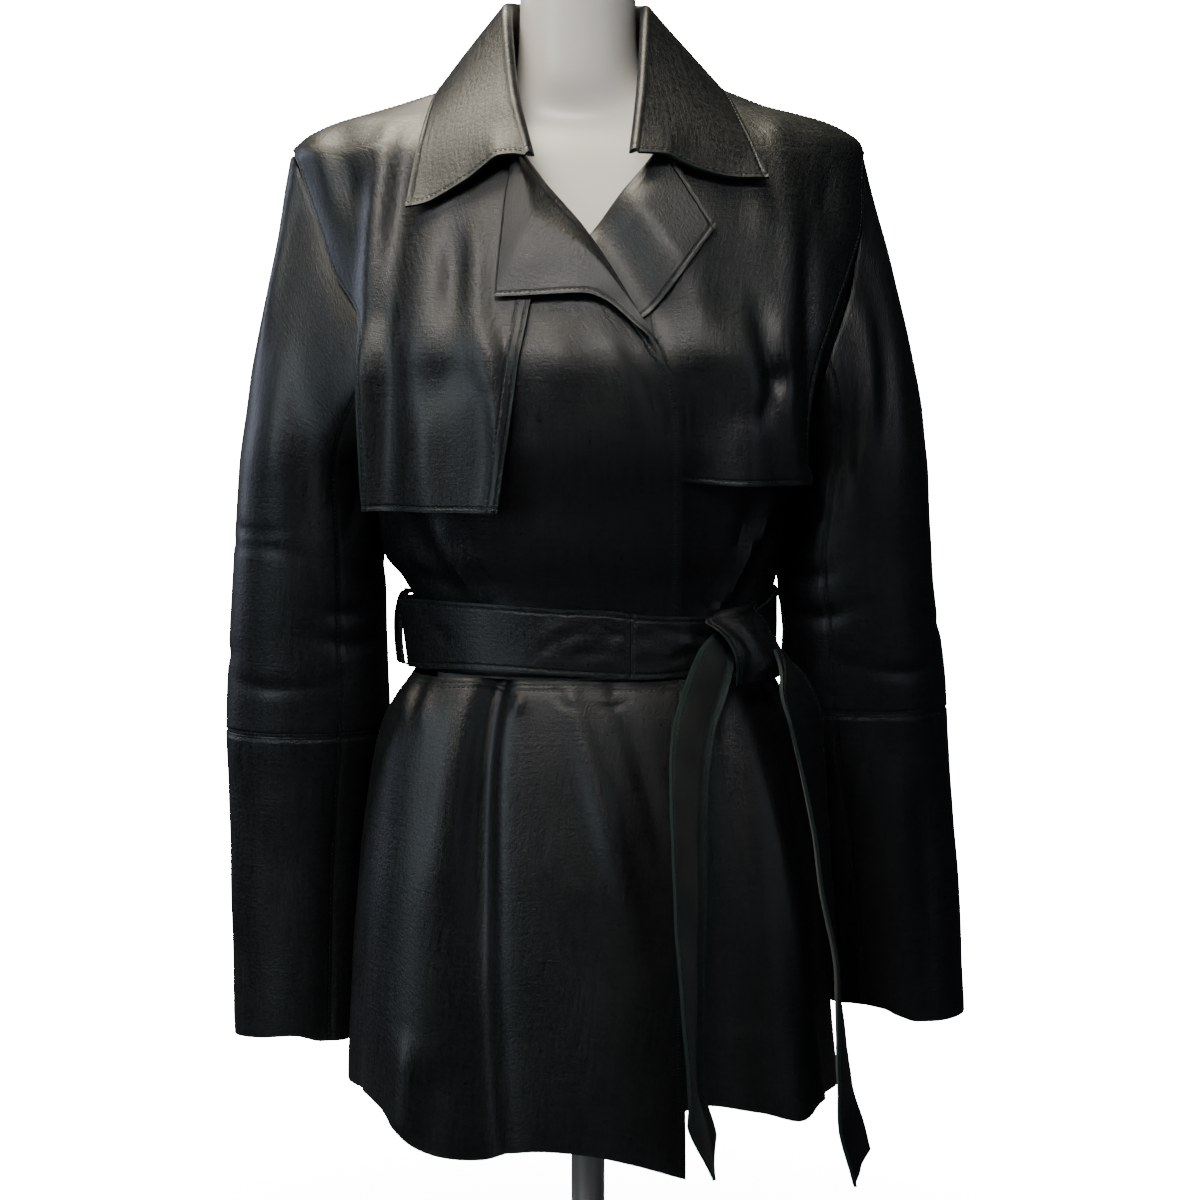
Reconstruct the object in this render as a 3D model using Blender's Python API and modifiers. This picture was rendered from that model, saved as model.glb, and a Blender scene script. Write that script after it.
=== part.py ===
"""Leather wrap jacket with a tie belt, standing on a limbless dress form.

Metres, +Z up, front towards -Y, the wearer's left towards +X.  The origin is the
centre of the underside of the stand's base.  Every panel that a maker would cut
and sew on is one closed solid of its own.
"""

import math

import bmesh
import bpy
from mathutils import Vector

# ---------------------------------------------------------------- driving sizes
CLOTH = 0.0014            # one thickness of leather
BAND = 0.0024             # belt and collar: two thicknesses bonded together
SEAM = 0.0005             # open line between two pieces that are sewn together
SHOULDER_SEAM = 0.0016    # the same on the shoulder's ridge, where the walls lean in
SKIRT_REACH = 0.13        # radius that turns the open line into degrees of the skirt
SLEEVE_REACH = 0.055      # and of a sleeve
MERGE = 0.00001           # points nearer than this are one

WAIST_Z = 0.474           # seam between bodice and skirt
NECK_POINT_Z = 0.905      # where the shoulder seam meets the neck
NAPE_Z = 0.878            # centre back of the neck seam
UNDERARM_Z = 0.645        # lowest point of the armhole
ELBOW_Z = {"right": 0.428, "left": 0.445}
RIDGE_Y = 0.008           # the shoulder seam lies a little behind the middle

FLAP_LIFT = 0.0046        # storm flaps above the fronts
FLAP_TUCK = 0.0114        # the left flap between the two fronts
FLAP_BUST_Z = 0.705       # below this they hang free
FLAP_FOLLOWS = 0.25       # share of the body's fall below the bust that they follow
FLAP_STAND = 0.0090       # the free outer corner of the right flap stands off the arm
FLAP_STAND_FROM = 0.125   # outside this x
FLAP_STAND_Z = (0.725, 0.745)   # fully off below the first height, not at all above the second
FLAP_NECK_GAP = 0.004     # their neck edge stops short of the neck seam
TUCK = 0.0100             # how far the under front lies below the top front
TUCK_FROM = 0.0550        # it begins to slip below this far from the top front's edge
TUCK_TO = 0.0060          # and is fully below it this far from the edge

# Columns of faces across each piece.
COLUMNS = {
    "front_right": 7,
    "front_left": 14,
    "back": 6,
    "storm_flap_right": 5,
    "storm_flap_left": 8,
    "skirt_right": 13,
    "skirt_left": 10,
    "skirt_back": 18,
    "top_sleeve": 9,
    "under_sleeve": 4,
    "belt_long": 26,
    "belt_short": 5,
}

# The bodice: reach of each ring to the wearer's right and left, to the front and back.
BODICE = (
    # z,     right, left,  front, back,  squareness
    (0.470, 0.1280, 0.1330, 0.100, 0.088, 2.2),
    (0.515, 0.1240, 0.1330, 0.099, 0.088, 2.2),
    (0.543, 0.1250, 0.1350, 0.103, 0.092, 2.2),
    (0.562, 0.1440, 0.1385, 0.112, 0.100, 2.3),
    (0.600, 0.1510, 0.1430, 0.121, 0.110, 2.4),
    (0.645, 0.1580, 0.1560, 0.131, 0.120, 2.5),
    (0.695, 0.1760, 0.1820, 0.136, 0.128, 2.5),
    (0.745, 0.1880, 0.2000, 0.127, 0.131, 2.4),
    (0.795, 0.1980, 0.2030, 0.107, 0.125, 2.3),
    (0.826, 0.2060, 0.2020, 0.092, 0.112, 2.2),
    (0.850, 0.2135, 0.1990, 0.077, 0.096, 2.2),
    (0.858, 0.2070, 0.1965, 0.070, 0.088, 2.2),
    (0.866, 0.1950, 0.1860, 0.060, 0.078, 2.2),
    (0.873, 0.1800, 0.1710, 0.050, 0.067, 2.2),
    (0.878, 0.1610, 0.1530, 0.042, 0.059, 2.2),
    (0.884, 0.1400, 0.1290, 0.032, 0.048, 2.2),
    (0.891, 0.1190, 0.1110, 0.022, 0.036, 2.2),
    (0.898, 0.0980, 0.0940, 0.013, 0.024, 2.2),
    (0.906, 0.0770, 0.0760, 0.006, 0.010, 2.2),
)

# The skirt of the jacket, whose widest line lies a little forward of the middle.
SKIRT = (
    # z,     right, left,  front, back,  squareness
    (0.110, 0.1800, 0.1900, 0.118, 0.142, 2.2),
    (0.170, 0.1795, 0.1870, 0.117, 0.140, 2.2),
    (0.230, 0.1770, 0.1810, 0.114, 0.136, 2.2),
    (0.300, 0.1720, 0.1760, 0.108, 0.130, 2.2),
    (0.360, 0.1655, 0.1700, 0.100, 0.126, 2.2),
    (0.415, 0.1565, 0.1610, 0.090, 0.122, 2.2),
    (0.445, 0.1480, 0.1535, 0.082, 0.120, 2.2),
    (0.463, 0.1380, 0.1430, 0.076, 0.119, 2.2),
    (0.475, 0.1290, 0.1340, 0.071, 0.118, 2.2),
)
SKIRT_MIDDLE_Y = -0.022

# Folds of the skirt run from the waist to the hem; a minus depth is a valley.
SKIRT_FOLDS = (
    # waist angle, hem angle, half width, depth at waist, depth at hem
    (-40, -39, 6, -0.005, -0.020),
    (-54, -56, 11, 0.004, 0.010),
    (-80, -78, 9, 0.0, -0.006),
    (10, 16, 15, 0.0, 0.005),
    (44, 42, 9, 0.0, -0.010),
    (61, 60, 9, 0.002, 0.012),
    (79, 78, 8, 0.0, -0.007),
    (104, 103, 12, 0.0, -0.007),
    (118, 119, 9, 0.0, 0.006),
    (134, 135, 9, -0.001, -0.012),
    (155, 156, 10, 0.0, 0.009),
    (178, 180, 9, 0.0, -0.010),
    (203, 202, 10, 0.0, 0.010),
    (226, 226, 9, -0.001, -0.011),
    (242, 242, 9, 0.0, 0.006),
    (256, 257, 12, 0.0, -0.007),
)

# Front edge of the top front: straight, round the break, up the roll line, round the neck.
FRONT_EDGE = (
    # z,     x
    (0.470, 0.0665),
    (0.600, 0.0665),
    (0.662, 0.0655),
    (0.688, 0.0605),
    (0.711, 0.0470),
    (0.730, 0.0375),
    (0.789, 0.0005),
    (0.838, -0.0400),
    (0.862, -0.0570),
    (0.886, -0.0700),
    (0.906, -0.0768),
)

# Back of the neck seam, from the nape to the neck point.
NAPE_EDGE = (
    # z,     x
    (0.878, 0.0000),
    (0.880, 0.0250),
    (0.885, 0.0450),
    (0.893, 0.0610),
    (0.906, 0.0755),
)

# Front of the armhole seam.
ARMHOLE = (
    # z,     right x, left x
    (0.645, 0.1580, 0.1560),
    (0.652, 0.1530, 0.1550),
    (0.675, 0.1500, 0.1620),
    (0.700, 0.1510, 0.1700),
    (0.728, 0.1590, 0.1800),
    (0.766, 0.1790, 0.1900),
    (0.800, 0.1920, 0.1950),
    (0.826, 0.2020, 0.1975),
    (0.842, 0.2090, 0.1982),
    (0.850, 0.2130, 0.1985),
)
ARMHOLE_BACK_WIDER = 0.004

# Storm flaps: inner and outer edge.
FLAP = {
    "right": (
        # z,     inner x, outer x
        (0.598, 0.0600, 0.1465),
        (0.606, 0.0590, 0.1468),
        (0.660, 0.0520, 0.1480),
        (0.700, 0.0470, 0.1500),
        (0.728, 0.0415, 0.1560),
        (0.766, 0.0360, 0.1770),
        (0.800, 0.0390, 0.1885),
        (0.838, 0.0480, 0.2030),
        (0.862, 0.0620, 0.2120),
        (0.886, 0.0750, 0.2120),
    ),
    "left": (
        (0.616, 0.0580, 0.1545),
        (0.660, 0.0560, 0.1560),
        (0.700, 0.0480, 0.1600),
        (0.728, 0.0380, 0.1690),
        (0.766, 0.0330, 0.1830),
        (0.800, 0.0350, 0.1930),
        (0.838, 0.0480, 0.1960),
        (0.862, 0.0620, 0.1990),
        (0.886, 0.0750, 0.1990),
    ),
}

# Sleeves below the underarm.
SLEEVE = {
    "right": (
        # z,     x,       y,     half width, half depth
        (0.196, -0.2165, 0.050, 0.0510, 0.052),
        (0.240, -0.2160, 0.050, 0.0515, 0.053),
        (0.300, -0.2150, 0.048, 0.0530, 0.055),
        (0.380, -0.2120, 0.042, 0.0565, 0.057),
        (0.428, -0.2100, 0.036, 0.0600, 0.058),
        (0.500, -0.2085, 0.028, 0.0575, 0.059),
        (0.560, -0.2065, 0.020, 0.0540, 0.060),
        (0.620, -0.2060, 0.012, 0.0487, 0.061),
    ),
    "left": (
        (0.214, 0.2325, 0.050, 0.0520, 0.052),
        (0.240, 0.2305, 0.050, 0.0525, 0.053),
        (0.300, 0.2245, 0.048, 0.0545, 0.055),
        (0.380, 0.2155, 0.042, 0.0560, 0.057),
        (0.445, 0.2085, 0.035, 0.0590, 0.058),
        (0.500, 0.2055, 0.028, 0.0560, 0.059),
        (0.560, 0.1995, 0.020, 0.0545, 0.060),
        (0.620, 0.2005, 0.012, 0.0487, 0.061),
    ),
}
SLEEVE_SQUARE = 2.15
SLEEVE_HEAD_Z = 0.620     # the tube of the sleeve begins here
SLEEVE_FRONT_SEAM = 118   # degrees round from the outermost line, by the front
SLEEVE_BACK_SEAM = 238
ARMHOLE_GAP = 0.0022      # the sleeve starts this far outside the armhole's edge
SLEEVE_DROP = {"right": 0.15, "left": 0.24}   # how far it leans out as it leaves
SLEEVE_FULL = 0.40        # and how far its front and back swell as they leave
SLEEVE_FORWARD = 0.08

# Hem heights, along each piece from its side seam to its front edge.
HEM = {
    "right": (
        # along, z
        (0.00, 0.172),
        (0.14, 0.176),
        (0.24, 0.173),
        (0.29, 0.160),
        (0.34, 0.149),
        (0.40, 0.1465),
        (0.50, 0.149),
        (0.62, 0.145),
        (0.78, 0.138),
        (1.00, 0.1305),
    ),
    "left": (
        (0.00, 0.173),
        (0.20, 0.174),
        (0.30, 0.166),
        (0.38, 0.174),
        (0.50, 0.179),
        (0.70, 0.170),
        (1.00, 0.165),
    ),
    "back": (
        (0.00, 0.172),
        (0.20, 0.180),
        (0.35, 0.170),
        (0.50, 0.176),
        (0.66, 0.168),
        (0.84, 0.178),
        (1.00, 0.172),
    ),
}
SKIRT_EDGE_X = {"right": 0.0695, "left": -0.020}
SKIRT_TUCK = 0.0060       # the under skirt front below the top one

# Lapels, down the roll line: outer edge of the turned-back front.
LAPEL = {
    "right": (
        # down, x,     z
        (0.00, -0.0620, 0.7440),
        (0.45, 0.0030, 0.7475),
        (0.78, 0.0350, 0.7240),
        (0.97, 0.0475, 0.7105),
    ),
    "left": (
        (0.00, 0.0895, 0.7925),
        (0.45, 0.0385, 0.7335),
        (0.75, -0.0050, 0.7150),
        (0.97, -0.0450, 0.7110),
    ),
}
GORGE_Z = {"right": 0.836, "left": 0.845}
BREAK_Z = 0.7130
LAPEL_LIFT = (
    # across, right, left where free, left where the top front covers it
    (0.00, 0.0022, 0.0022, -0.0078),
    (0.10, 0.0070, 0.0060, -0.0046),
    (0.30, 0.0115, 0.0085, -0.0034),
    (1.00, 0.0100, 0.0085, -0.0034),
)

# Collar, from its front end to the centre back.
COLLAR = {
    "right": (
        # along, roll x, y, z,          edge x, y, z,            neck angle, neck z
        (0.00, 0.0405, -0.094, 0.8460, 0.1290, -0.0870, 0.8140, 27.0, 0.8420),
        (0.24, 0.0465, -0.062, 0.8960, 0.1175, -0.0600, 0.8600, 43.7, 0.8650),
        (0.48, 0.0575, -0.016, 0.9530, 0.1110, -0.0080, 0.9000, 75.0, 0.8900),
        (0.57, 0.0580, 0.004, 0.9570, 0.1090, 0.0160, 0.9020, 90.0, 0.9065),
        (0.66, 0.0560, 0.022, 0.9600, 0.1060, 0.0400, 0.8955, 103.0, 0.8990),
        (0.84, 0.0380, 0.052, 0.9620, 0.0700, 0.0860, 0.8740, 133.0, 0.8855),
        (1.00, 0.0070, 0.063, 0.9630, 0.0000, 0.0980, 0.8700, 180.0, 0.8780),
    ),
    "left": (
        (0.00, 0.0325, -0.094, 0.8530, 0.1280, -0.0800, 0.8320, 24.0, 0.8450),
        (0.24, 0.0345, -0.062, 0.8960, 0.1130, -0.0560, 0.8640, 43.7, 0.8650),
        (0.48, 0.0430, -0.016, 0.9530, 0.1020, -0.0080, 0.9010, 75.0, 0.8900),
        (0.57, 0.0440, 0.004, 0.9570, 0.1030, 0.0160, 0.9020, 90.0, 0.9065),
        (0.66, 0.0420, 0.022, 0.9600, 0.1020, 0.0400, 0.8950, 103.0, 0.8990),
        (0.84, 0.0240, 0.052, 0.9620, 0.0700, 0.0860, 0.8740, 133.0, 0.8855),
        (1.00, -0.0070, 0.063, 0.9630, 0.0000, 0.0980, 0.8700, 180.0, 0.8780),
    ),
}
COLLAR_INSIDE = 0.0048    # the stand starts this far inside the neck seam
COLLAR_PUFF = 0.03        # how far the leaf bows out, of its width
COLLAR_ROLL = 0.0042      # radius of the fold at the top

# Belt: height of its middle round the waist.
BELT_LIFT = 0.0066
BELT_SIZE_Z = 0.515       # it follows the ring of the bodice at this height
BELT_MIDDLE = (
    # angle, z,     width
    (-298, 0.5020, 0.040),
    (-270, 0.5140, 0.047),
    (-180, 0.5120, 0.047),
    (-90, 0.5140, 0.047),
    (-45, 0.5105, 0.048),
    (0, 0.5040, 0.047),
    (35, 0.4995, 0.042),
    (57, 0.5020, 0.038),
)
BELT_JOIN = 17            # angle of the seam that joins the belt's two lengths
BELT_JOIN_GAP = 0.15      # half of its open line, in degrees
BELT_END = {"short": 56.0, "long": -298.0}   # where the two lengths go into the knot
LOOP_WIDTH = 0.014
LOOP = (
    # down, out from the bodice, z
    (0.0, 0.0028, 0.5425),
    (0.15, 0.0110, 0.5415),
    (0.5, 0.0135, 0.5150),
    (0.85, 0.0115, 0.4880),
    (1.0, 0.0038, 0.4810),
)
LOOP_SHARE = {"right": 1.0, "left": 0.86}   # the left loop is pressed by the arm

# The knot, from its underside up: middle, half width along the waist, half depth.
KNOT = (
    # z,     x,      y,      half width, half depth
    (0.4790, 0.1240, -0.0720, 0.0120, 0.0060),
    (0.4860, 0.1240, -0.0725, 0.0195, 0.0090),
    (0.5000, 0.1225, -0.0720, 0.0220, 0.0100),
    (0.5180, 0.1195, -0.0710, 0.0205, 0.0095),
    (0.5290, 0.1170, -0.0695, 0.0160, 0.0080),
    (0.5345, 0.1160, -0.0690, 0.0095, 0.0050),
)
KNOT_FACES = 48           # degrees from the front that the knot faces
KNOT_SIDES = 16
KNOT_SQUARE = 0.75        # power that squares its section

# The two ends of the belt hang from the knot, turned nearly edge on.
TAILS = {
    "tail_inner": (
        # down, x,     y,      z,      turn, width
        (0.00, 0.0905, -0.0900, 0.5030, 50, 0.030),
        (0.05, 0.0845, -0.1000, 0.4880, 44, 0.038),
        (0.10, 0.0790, -0.1080, 0.4700, 46, 0.043),
        (0.17, 0.0730, -0.1210, 0.4450, 54, 0.045),
        (0.28, 0.0695, -0.1350, 0.4050, 61, 0.046),
        (0.45, 0.0700, -0.1480, 0.3400, 66, 0.046),
        (0.65, 0.0715, -0.1560, 0.2650, 76, 0.046),
        (0.82, 0.0735, -0.1600, 0.2000, 84, 0.046),
        (0.92, 0.0790, -0.1610, 0.1650, 66, 0.040),
        (1.00, 0.0860, -0.1600, 0.1370, 70, 0.022),
    ),
    "tail_outer": (
        (0.00, 0.1440, -0.0960, 0.4750, 50, 0.040),
        (0.07, 0.1520, -0.0950, 0.4535, 54, 0.044),
        (0.15, 0.1575, -0.0940, 0.4300, 60, 0.046),
        (0.28, 0.1635, -0.0940, 0.3850, 70, 0.046),
        (0.45, 0.1700, -0.0960, 0.3280, 77, 0.046),
        (0.60, 0.1770, -0.0970, 0.2750, 84, 0.046),
        (0.74, 0.1800, -0.0980, 0.2300, 79, 0.046),
        (0.85, 0.1825, -0.0980, 0.1900, 76, 0.046),
        (0.94, 0.1885, -0.0980, 0.1580, 64, 0.046),
        (1.00, 0.1950, -0.0980, 0.1380, 58, 0.038),
    ),
}

# The dress form under the jacket, and its stand.
FORM_NECK_X = -0.0070     # the neck leans a little to the wearer's right
FORM_NECK_Z = (0.85, 0.90)
FORM = (
    # z,     right, left,  front, back,  squareness
    (0.235, 0.118, 0.118, 0.078, 0.056, 2.2),
    (0.242, 0.130, 0.130, 0.088, 0.068, 2.2),
    (0.260, 0.136, 0.136, 0.094, 0.074, 2.2),
    (0.330, 0.139, 0.139, 0.096, 0.077, 2.2),
    (0.400, 0.131, 0.131, 0.088, 0.076, 2.2),
    (0.460, 0.115, 0.115, 0.080, 0.074, 2.2),
    (0.510, 0.110, 0.110, 0.078, 0.072, 2.2),
    (0.560, 0.116, 0.116, 0.086, 0.080, 2.3),
    (0.620, 0.130, 0.130, 0.100, 0.094, 2.4),
    (0.690, 0.142, 0.142, 0.114, 0.108, 2.4),
    (0.740, 0.150, 0.150, 0.104, 0.112, 2.4),
    (0.790, 0.162, 0.162, 0.082, 0.106, 2.3),
    (0.830, 0.172, 0.166, 0.064, 0.088, 2.2),
    (0.852, 0.164, 0.154, 0.054, 0.070, 2.2),
    (0.864, 0.134, 0.128, 0.044, 0.054, 2.2),
    (0.873, 0.102, 0.100, 0.040, 0.045, 2.2),
    (0.882, 0.074, 0.076, 0.038, 0.040, 2.2),
    (0.892, 0.055, 0.057, 0.039, 0.038, 2.1),
    (0.906, 0.046, 0.046, 0.042, 0.038, 2.0),
    (0.930, 0.043, 0.043, 0.041, 0.038, 2.0),
    (0.980, 0.0425, 0.0425, 0.041, 0.038, 2.0),
    (1.004, 0.0425, 0.0425, 0.041, 0.038, 2.0),
    (1.010, 0.041, 0.041, 0.039, 0.035, 2.0),
    (1.012, 0.034, 0.034, 0.032, 0.029, 2.0),
)
FORM_SIDES = 20
POLE_RADIUS = 0.0125
SOCKET_RADIUS = 0.024
SOCKET_HEIGHT = 0.030
BASE_RADIUS = 0.145
BASE_HEIGHT = 0.012
BASE_EDGE = 0.004
SOCKET_EDGE = 0.003
STAND_CLEAR = 0.0003      # gap between the stand's pieces


# ---------------------------------------------------------------- reading tables
def read(table, at):
    """The later columns of a table at a value of its first, on a smooth curve."""
    at = min(max(at, table[0][0]), table[-1][0])
    low = 0
    while low < len(table) - 2 and at > table[low + 1][0]:
        low += 1
    step = table[low + 1][0] - table[low][0]
    t = (at - table[low][0]) / step
    values = []
    for column in range(1, len(table[0])):
        def secant(index):
            first, last = table[index], table[index + 1]
            return (last[column] - first[column]) / (last[0] - first[0])

        def slope(index):
            if index == 0:
                return secant(0)
            if index == len(table) - 1:
                return secant(index - 1)
            before, after = secant(index - 1), secant(index)
            if before * after <= 0:
                return 0.0
            return 2 * before * after / (before + after)

        start, end = table[low][column], table[low + 1][column]
        values.append(
            start * (1 + 2 * t) * (1 - t) ** 2
            + slope(low) * step * t * (1 - t) ** 2
            + end * t * t * (3 - 2 * t)
            - slope(low + 1) * step * t * t * (1 - t)
        )
    return values


def blend(low, high, value):
    """0 below low, 1 above high, with a soft change between them."""
    t = min(max((value - low) / (high - low), 0.0), 1.0)
    return t * t * (3 - 2 * t)


# ---------------------------------------------------------------- the body's rings
def ring_point(sizes, middle_y, angle, z, push=0.0):
    """A point of a ring: angle 0 is the centre front, 90 the wearer's left side."""
    right, left, front, back, square = sizes
    turn = math.radians(angle)
    side = left if math.sin(turn) > 0 else right
    depth = front if math.cos(turn) > 0 else back
    across = (abs(math.sin(turn)) / side) ** square
    along = (abs(math.cos(turn)) / depth) ** square
    reach = (across + along) ** (-1 / square) + push
    return Vector((reach * math.sin(turn), middle_y - reach * math.cos(turn), z))


def bodice_bare(angle, z):
    return ring_point(read(BODICE, z), RIDGE_Y, angle, z)


def tuck(x, z):
    """Share of the full tuck of a layer of the wearer's left side."""
    past_edge = x - read(FRONT_EDGE, z)[0]
    return 1.0 - blend(TUCK_TO, TUCK_FROM, past_edge)


def flap_size_z(z):
    """The height whose ring a flap follows: it hangs almost straight from the bust."""
    return z if z > FLAP_BUST_Z else FLAP_BUST_Z - FLAP_FOLLOWS * (FLAP_BUST_Z - z)


def flap_bare(angle, z):
    """Where the top front covers it, a flap lies against the body instead."""
    hanging = ring_point(read(BODICE, flap_size_z(z)), RIDGE_Y, angle, z)
    if angle < 0:
        return hanging
    return hanging.lerp(bodice_bare(angle, z), tuck(hanging.x, z))


def skirt_bare(angle, z):
    push = 0.0
    fall = min(max((WAIST_Z - z) / (WAIST_Z - 0.15), 0.0), 1.0)
    for waist_angle, hem_angle, half_width, at_waist, at_hem in SKIRT_FOLDS:
        centre = waist_angle + (hem_angle - waist_angle) * fall
        off = (angle - centre + 180) % 360 - 180
        push += (at_waist + (at_hem - at_waist) * fall) * math.exp(-((off / half_width) ** 2))
    return ring_point(read(SKIRT, z), SKIRT_MIDDLE_Y, angle, z, push)


def lifted(bare, angle, z, lift):
    """A point of a surface moved out along its normal."""
    point = bare(angle, z)
    if lift == 0.0:
        return point
    round_it = bare(angle + 0.5, z) - bare(angle - 0.5, z)
    up_it = bare(angle, z + 0.001) - bare(angle, z - 0.001)
    return point + round_it.cross(up_it).normalized() * lift


def angle_at(table, size_z, x, back=False):
    """The angle at which a ring passes a given x."""
    right, left, front, rear, square = read(table, size_z)
    side = left if x > 0 else right
    depth = rear if back else front
    share = min(abs(x) / side, 1.0)
    away = depth * (1 - share ** square) ** (1 / square)
    angle = math.degrees(math.atan2(abs(x), away))
    angle = 180 - angle if back else angle
    return math.copysign(angle, x)


def even_angles(bare, z, first, last, count):
    """Angles from first to last, evenly spaced along the cloth."""
    fine = 4 * count
    tries = [first + (last - first) * i / fine for i in range(fine + 1)]
    points = [bare(angle, z) for angle in tries]
    lengths = [0.0]
    for before, after in zip(points, points[1:]):
        lengths.append(lengths[-1] + (after - before).length)
    angles, k = [], 0
    for i in range(count + 1):
        want = lengths[-1] * i / count
        while k < fine - 1 and lengths[k + 1] < want:
            k += 1
        share = (want - lengths[k]) / (lengths[k + 1] - lengths[k])
        angles.append(tries[k] + (tries[k + 1] - tries[k]) * share)
    return angles


# ---------------------------------------------------------------- making objects
def material(name, colour, roughness, metallic=0.0):
    made = bpy.data.materials.get(name)
    if made is None:
        made = bpy.data.materials.new(name)
        made.use_nodes = True
        shader = made.node_tree.nodes["Principled BSDF"]
        shader.inputs["Base Color"].default_value = (*colour, 1.0)
        shader.inputs["Roughness"].default_value = roughness
        shader.inputs["Metallic"].default_value = metallic
    return made


def leather():
    return material("leather", (0.012, 0.020, 0.021), 0.38)


def new_object(name, mesh, finish):
    made = bpy.data.objects.new(name, mesh)
    made.data.materials.append(finish)
    COLLECTION.objects.link(made)
    return made


def sheet(name, grids, thickness=CLOTH):
    """A piece of leather from one or more grids of points that share their edges."""
    shape = bmesh.new()
    for grid in grids:
        rows = [[shape.verts.new(point) for point in row] for row in grid]
        for low, high in zip(rows, rows[1:]):
            for i in range(len(low) - 1):
                shape.faces.new((low[i], low[i + 1], high[i + 1], high[i]))
    bmesh.ops.remove_doubles(shape, verts=shape.verts, dist=MERGE)
    mesh = bpy.data.meshes.new(name)
    shape.to_mesh(mesh)
    shape.free()
    made = new_object(name, mesh, leather())
    wall = made.modifiers.new("Thickness", "SOLIDIFY")
    wall.thickness = thickness
    wall.offset = -1.0
    return made


def solid(name, rings, finish):
    """A closed solid lofted through rings of the same number of points."""
    shape = bmesh.new()
    rows = [[shape.verts.new(point) for point in ring] for ring in rings]
    for low, high in zip(rows, rows[1:]):
        for i in range(len(low)):
            j = (i + 1) % len(low)
            shape.faces.new((low[i], low[j], high[j], high[i]))
    shape.faces.new(list(reversed(rows[0])))
    shape.faces.new(rows[-1])
    bmesh.ops.recalc_face_normals(shape, faces=shape.faces)
    mesh = bpy.data.meshes.new(name)
    shape.to_mesh(mesh)
    shape.free()
    return new_object(name, mesh, finish)


# ---------------------------------------------------------------- bodice
def side_gap(z):
    """Half of a seam's open line, in degrees of the ring."""
    seam = SHOULDER_SEAM if z >= ARMHOLE[-1][0] else SEAM
    return math.degrees(0.5 * seam / read(BODICE, z)[0])


def armhole_angle(side, z, back=False):
    """The angle at which the armhole, side seam or shoulder seam bounds a panel."""
    top_z = ARMHOLE[-1][0]
    if z <= UNDERARM_Z + SEAM or z >= top_z:
        return 90.0
    x = read(ARMHOLE, z)[0 if side == "right" else 1]
    if back:
        x += ARMHOLE_BACK_WIDER * math.sin(math.pi * (z - UNDERARM_Z) / (top_z - UNDERARM_Z))
    x = min(x, read(BODICE, z)[0 if side == "right" else 1])
    return abs(angle_at(BODICE, z, x if side == "left" else -x, back))


def bodice_levels():
    """Heights of the rows of a bodice panel, from the waist to the neck point."""
    below = [WAIST_Z + SEAM, 0.512, 0.540, 0.562, 0.590, 0.618]
    armhole = [UNDERARM_Z, 0.6525, 0.672, 0.700, 0.716, 0.732, 0.749, 0.770, 0.797, 0.825, 0.8495]
    shoulder = [0.861, 0.870, NAPE_Z, 0.887, 0.896, 0.9045]
    return below + armhole + shoulder


def front_panel(side):
    sign = -1 if side == "right" else 1
    rows = []
    for z in bodice_levels():
        edge_x = read(FRONT_EDGE, z)[0] * -sign
        inner = angle_at(BODICE, z, edge_x)
        outer = sign * (armhole_angle(side, z) - side_gap(z))
        row = []
        for angle in even_angles(bodice_bare, z, inner, outer, COLUMNS["front_" + side]):
            lift = 0.0
            if side == "left":
                lift = -TUCK * tuck(bodice_bare(angle, z).x, z)
            row.append(lifted(bodice_bare, angle, z, lift))
        rows.append(row if side == "left" else row[::-1])
    sheet("front_" + side, [rows])


def back_panel():
    grids = []
    for side, sign in (("right", -1), ("left", 1)):
        rows = []
        for z in bodice_levels():
            outer = sign * (armhole_angle(side, z, back=True) + side_gap(z))
            inner = sign * 180.0
            if z > NAPE_Z:
                x = read(NAPE_EDGE, z)[0]
                inner = angle_at(BODICE, z, sign * x, back=True)
            row = [bodice_bare(angle, z)
                   for angle in even_angles(bodice_bare, z, inner, outer, COLUMNS["back"])]
            rows.append(row[::-1] if side == "left" else row)
        grids.append(rows)
    sheet("back", grids)


def flap(side):
    """A storm flap, sewn in at the shoulder and armhole and free below the bust."""
    table = FLAP[side]
    sign = -1 if side == "right" else 1
    low_z = table[0][0]
    levels = [low_z] + [z for z in bodice_levels() if low_z + 0.01 < z < NECK_POINT_Z]
    rows = []
    for z in levels:
        inner_x, outer_x = read(table, z)
        size_z = flap_size_z(z)
        if z > table[-1][0]:
            inner_x = abs(read(FRONT_EDGE, z)[0]) + FLAP_NECK_GAP
        outer_x = min(outer_x, read(BODICE, size_z)[0 if side == "right" else 1])
        inner = angle_at(BODICE, size_z, sign * inner_x)
        outer = angle_at(BODICE, size_z, sign * outer_x)
        if z >= ARMHOLE[-1][0]:
            outer = sign * (90.0 - side_gap(z))
        row = []
        for angle in even_angles(flap_bare, z, inner, outer, COLUMNS["storm_flap_" + side]):
            lift = FLAP_LIFT
            if side == "left":
                lift -= FLAP_TUCK * tuck(flap_bare(angle, z).x, z)
            else:
                free = 1.0 - blend(*FLAP_STAND_Z, z)
                edge = blend(FLAP_STAND_FROM, outer_x, abs(flap_bare(angle, z).x))
                lift += FLAP_STAND * free * edge
            row.append(lifted(flap_bare, angle, z, lift))
        rows.append(row if side == "left" else row[::-1])
    sheet("storm_flap_" + side, [rows])


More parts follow.
